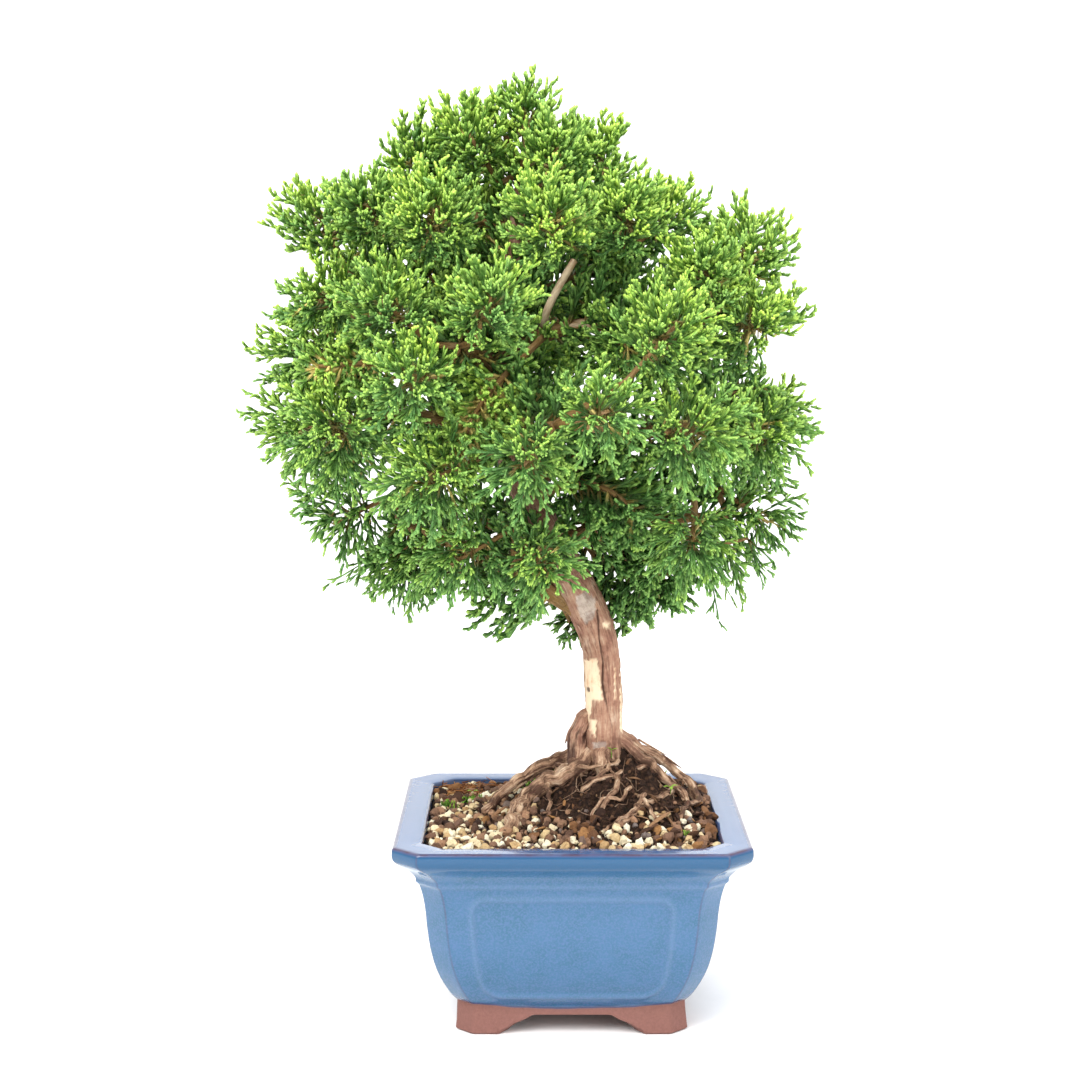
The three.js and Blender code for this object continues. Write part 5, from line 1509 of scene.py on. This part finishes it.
# The moss: middle and breadth of each tuft
MOSS_TUFTS = [
    (-45, 25, 2.4), (-41, 21, 1.6), (-51.5, 14, 2.6), (-55, 17, 1.8), (-30, 27, 2.0), (-14, 8, 1.8),
    (-8, 4, 1.5), (-18, 12, 2.2), (41, 30, 2.2), (-22, 44, 2.0), (48, -40, 1.4),
]
MOSS_TINTS = [(0.0, paint(70, 110, 36)), (0.6, paint(120, 168, 56)), (1.0, paint(166, 200, 82))]
STEMS_PER_TUFT = 34
draw = np.random.default_rng(910)
tuft = np.repeat(np.arange(len(MOSS_TUFTS)), STEMS_PER_TUFT)
moss_rows = np.array(MOSS_TUFTS, dtype=float)[tuft]
moss_x = moss_rows[:, 0] + draw.normal(0, 0.6, len(tuft)) * moss_rows[:, 2]
moss_y = moss_rows[:, 1] + draw.normal(0, 0.6, len(tuft)) * moss_rows[:, 2]
moss_root = np.column_stack([moss_x, moss_y, soil_top(moss_x, moss_y) + 0.3])
moss_heading = unit(UP[None] + draw.normal(0, 0.45, (len(tuft), 3)))
moss_length = draw.uniform(1.6, 3.6, len(tuft))
moss_cords = (moss_root, moss_heading, moss_length, draw.normal(0, 0.15, (len(tuft), 3)))
moss_tone = np.column_stack([draw.uniform(0, 1, len(tuft)), np.ones(len(tuft))])
points, faces, marks = cord_skin(moss_cords, draw.uniform(0.28, 0.45, len(tuft)), 2, 0.2, 1.0, moss_tone)
moss_look = stone_look("soft_green_moss", MOSS_TINTS, 1500.0, 0.0003)
moss = mesh_object("moss_tufts", points, [faces], {"tint": marks[:, 1]})
moss.data.materials.append(moss_look)
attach(moss, "root")


STRIP_SIDES = 6
STRIP_WIDTHS = np.array([0.18, 0.7, 0.95, 1.0, 0.9, 0.6, 0.12])


def flat_strip(places, width, thickness):
    """A thin strip through its places, widest at its middle: points and triangles, closed at both ends."""
    rows, sides = len(STRIP_WIDTHS), STRIP_SIDES
    middles = limb_curve([(*place, 1.0) for place in places], np.linspace(0, 1, rows))
    along = unit(np.gradient(middles, axis=0))
    across = unit(np.cross(along, UP[None]))
    normal = np.cross(across, along)
    full = STRIP_WIDTHS[:, None]
    turns = np.arange(sides) / sides * 2 * math.pi
    ring = (across[:, None] * (np.cos(turns)[None] * full * width / 2)[..., None]
            + normal[:, None] * (np.sin(turns)[None] * full * thickness / 2)[..., None])
    points = (middles[:, None] + ring).reshape(-1, 3)
    quads = ring_faces(rows, sides, False)
    last = (rows - 1) * sides
    ends = np.array([[last + k for k in range(sides)], [sides - 1 - k for k in range(sides)]])
    triangles = [[face[0], face[k], face[k + 1]] for face in ends for k in range(1, sides - 1)]
    split = np.concatenate([quads[:, [0, 1, 2]], quads[:, [0, 2, 3]], np.array(triangles)])
    return points, split


def lay_strips(name, rows, finish):
    """Strips as one piece. Each row holds the strip's places, width, thickness and tint."""
    lots = []
    for places, width, thickness, tint_value in rows:
        points, faces = flat_strip(places, width, thickness)
        lots.append((points, faces, np.full(len(points), tint_value)))
    points, faces, tints = gather(lots)
    piece = mesh_object(name, points, [faces], {"tint": tints})
    piece.data.materials.append(finish)
    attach(piece, "root")


# The seedlings and a sprout by the moss: where each stem ends, and its leaves' run and width
SEEDLINGS = {
    (43.2, -11, 98.2): [((3.4, 0.6, 0.8), 2.2), ((-3.0, -1.2, 0.5), 2.0), ((0.6, -2.6, -0.4), 1.8)],
    (17.5, -7, 113.5): [((2.8, -1.4, 1.2), 2.0), ((-1.6, -1.5, 1.8), 1.8)],
    (-44, 24, 87.6): [((2.6, -0.8, 1.0), 1.7), ((-2.4, -0.8, 0.9), 1.6)],
}
LEAF_THICKNESS = 0.25
LEAF_TINT = 0.8
STEM_TINT = 0.4
leaf_rows = []
for (x0, y0, z0), leaves in SEEDLINGS.items():
    for (dx, dy, dz), width in leaves:
        places = [(x0, y0, z0), (x0 + dx / 2, y0 + dy / 2, z0 + dz / 2 + 0.5), (x0 + dx, y0 + dy, z0 + dz)]
        leaf_rows.append((places, width, LEAF_THICKNESS, LEAF_TINT))
for x0, y0, z0 in SEEDLINGS:
    stem = [(x0, y0, z0 - 3.4), (x0 + 0.3, y0, z0 - 1.6), (x0, y0, z0)]
    leaf_rows.append((stem, 0.5, 0.5, STEM_TINT))
lay_strips("seedlings", leaf_rows, moss_look)

# Two long scraps that lie on the mound's slope, and small ones anywhere
SCRAP_COUNT = 46
SCRAP_TINTS = [(0.0, paint(84, 62, 48)), (0.5, paint(142, 106, 76)), (1.0, paint(200, 160, 120))]
scrap_look = stone_look("tan_bark_scraps", SCRAP_TINTS, 1000.0, 0.0005)
scrap_rows = [
    ([(42.7, -27.0, 91.4), (37.5, -35.0, 90.4), (32.6, -42.3, 88.6)], 3.0, 1.2, 0.6),
    ([(-28.3, -14.0, 90.4), (-31.5, -18.5, 89.2), (-34.6, -23.1, 87.8)], 2.6, 1.1, 0.5),
]
half = inner_half - 4
for _ in range(SCRAP_COUNT):
    x0, y0 = draw.uniform(-half, half, 2)
    turn, run = draw.uniform(0, 2 * math.pi), draw.uniform(3, 8)
    x1, y1 = np.clip((x0 + run * math.cos(turn), y0 + run * math.sin(turn)), -half, half)
    z0, z1 = float(soil_top(x0, y0)) + 1.8, float(soil_top(x1, y1)) + draw.uniform(1.2, 2.6)
    places = [(x0, y0, z0), ((x0 + x1) / 2, (y0 + y1) / 2, (z0 + z1) / 2 + 0.5), (x1, y1, z1)]
    scrap_rows.append((places, draw.uniform(0.7, 1.8), draw.uniform(0.4, 0.9), draw.uniform(0, 0.8)))
lay_strips("bark_scraps", scrap_rows, scrap_look)

# The fibre mat: its middle, its spread and how many fibres it has
FIBRE_MIDDLE = (-49, 49)
FIBRE_SPREAD = (8.0, 7.0)
FIBRES = 260
FIBRE_TINTS = [(0.0, paint(104, 66, 40)), (0.6, paint(168, 108, 62)), (1.0, paint(204, 146, 92))]
fibre_x = np.clip(draw.normal(FIBRE_MIDDLE[0], FIBRE_SPREAD[0], FIBRES), -59, 40)
fibre_y = np.clip(draw.normal(FIBRE_MIDDLE[1], FIBRE_SPREAD[1], FIBRES), -40, 59)
fibre_z = soil_top(fibre_x, fibre_y) + draw.uniform(0.6, 2.4, FIBRES)
fibre_root = np.column_stack([fibre_x, fibre_y, fibre_z])
inward = np.column_stack([-fibre_x, -fibre_y, np.zeros(FIBRES)]) / 80
fibre_heading = unit(draw.normal(0, 1, (FIBRES, 3)) * np.array([1, 1, 0.12]) + inward)
fibre_length = draw.uniform(3, 8, FIBRES)
fibre_cords = (fibre_root, fibre_heading, fibre_length, draw.normal(0, 0.12, (FIBRES, 3)))
fibre_tone = np.column_stack([draw.uniform(0, 1, FIBRES), np.ones(FIBRES)])
points, faces, marks = cord_skin(fibre_cords, draw.uniform(0.18, 0.36, FIBRES), 3, 0.2, 1.0, fibre_tone)
fibre_look = stone_look("orange_brown_fibre", FIBRE_TINTS, 1500.0, 0.0002)
fibres = mesh_object("fibre_mat", points, [faces], {"tint": marks[:, 1]})
fibres.data.materials.append(fibre_look)
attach(fibres, "root")


# The studio
# A plain pale sweep of white paper that rises behind the tree, a key light from the front left, a
# weaker one from the right, a small lamp for glints and a broad light overhead. The camera stands in
# front and looks slightly down, where it stood for the photograph.
SWEEP_WIDTH = 6.0
SWEEP_FRONT = -3.0
SWEEP_BEND = 1.2
SWEEP_RADIUS = 0.8
SWEEP_TOP = 4.0
sweep_line = [(SWEEP_FRONT, 0.0), (SWEEP_BEND, 0.0)]
for step in range(1, 13):
    turn = step / 12 * math.pi / 2
    rise = SWEEP_RADIUS - SWEEP_RADIUS * math.cos(turn)
    sweep_line.append((SWEEP_BEND + SWEEP_RADIUS * math.sin(turn), rise))
sweep_line.append((SWEEP_BEND + SWEEP_RADIUS, SWEEP_TOP))
sweep_points = [(side * SWEEP_WIDTH / 2 / MM, y / MM, z / MM) for y, z in sweep_line for side in (-1, 1)]
sweep_faces = np.array([(k * 2, k * 2 + 1, k * 2 + 3, k * 2 + 2) for k in range(len(sweep_line) - 1)])
sweep = mesh_object("paper_sweep", np.array(sweep_points), [sweep_faces])
PAPER_SHADE = (0.9, 0.9, 0.9, 1)
PAPER_WHITE = (0.93, 0.93, 0.93, 1)
paper, tree, shader = new_finish("white_paper")
where = wire(tree, "TexCoord", out=3)
tooth = mottling(tree, where, 60.0, 3.0)
coat(tree, shader, ramp(tree, tooth, [(0.3, PAPER_SHADE), (0.7, PAPER_WHITE)]), 0.9, 0.1)
sweep.data.materials.append(paper)


def add_light(name, size, power, place, aim):
    lamp = bpy.data.lights.new(name, "AREA")
    lamp.shape = "RECTANGLE"
    lamp.size, lamp.size_y = size
    lamp.energy = power
    holder = bpy.data.objects.new(name, lamp)
    bpy.context.scene.collection.objects.link(holder)
    holder.location = [p + m for p, m in zip(place, POT_MIDDLE)]
    toward = np.array(aim) - np.array(place)
    holder.rotation_mode = "QUATERNION"
    holder.rotation_quaternion = Vector(toward).to_track_quat("-Z", "Y")


CROWN_AIM = (0.0, 0.0, 0.2)
POT_AIM = (0.0, 0.0, 0.08)
add_light("key_softbox", (1.2, 1.2), 40.0, (-0.8, -1.3, 1.5), CROWN_AIM)
add_light("fill_softbox", (1.2, 1.6), 18.0, (1.4, -1.2, 0.9), CROWN_AIM)
add_light("glint_lamp", (0.14, 0.14), 3.0, (-0.35, -0.5, 1.6), POT_AIM)
add_light("top_softbox", (1.4, 1.4), 27.0, (0.0, 0.1, 1.9), CROWN_AIM)
AIR_LIGHT = 1.08
world = bpy.data.worlds.new("studio_air")
world.use_nodes = True
world.node_tree.nodes["Background"].inputs["Color"].default_value = WHITE
world.node_tree.nodes["Background"].inputs["Strength"].default_value = AIR_LIGHT
bpy.context.scene.world = world
bpy.context.scene.view_settings.view_transform = "Standard"

CAMERA_PLACE = (-0.0135, -0.980, 0.3275)
CAMERA_DIP = 0.124
LENS_PIXELS = 2272
PHOTO_PIXELS = 1080
camera_data = bpy.data.cameras.new("camera")
camera_data.sensor_width = 36.0
camera_data.lens = LENS_PIXELS / PHOTO_PIXELS * camera_data.sensor_width
camera = bpy.data.objects.new("camera", camera_data)
camera.location = [p + m for p, m in zip(CAMERA_PLACE, POT_MIDDLE)]
camera.rotation_euler = (math.pi / 2 - CAMERA_DIP, 0.0, 0.0)
bpy.context.scene.collection.objects.link(camera)
bpy.context.scene.camera = camera
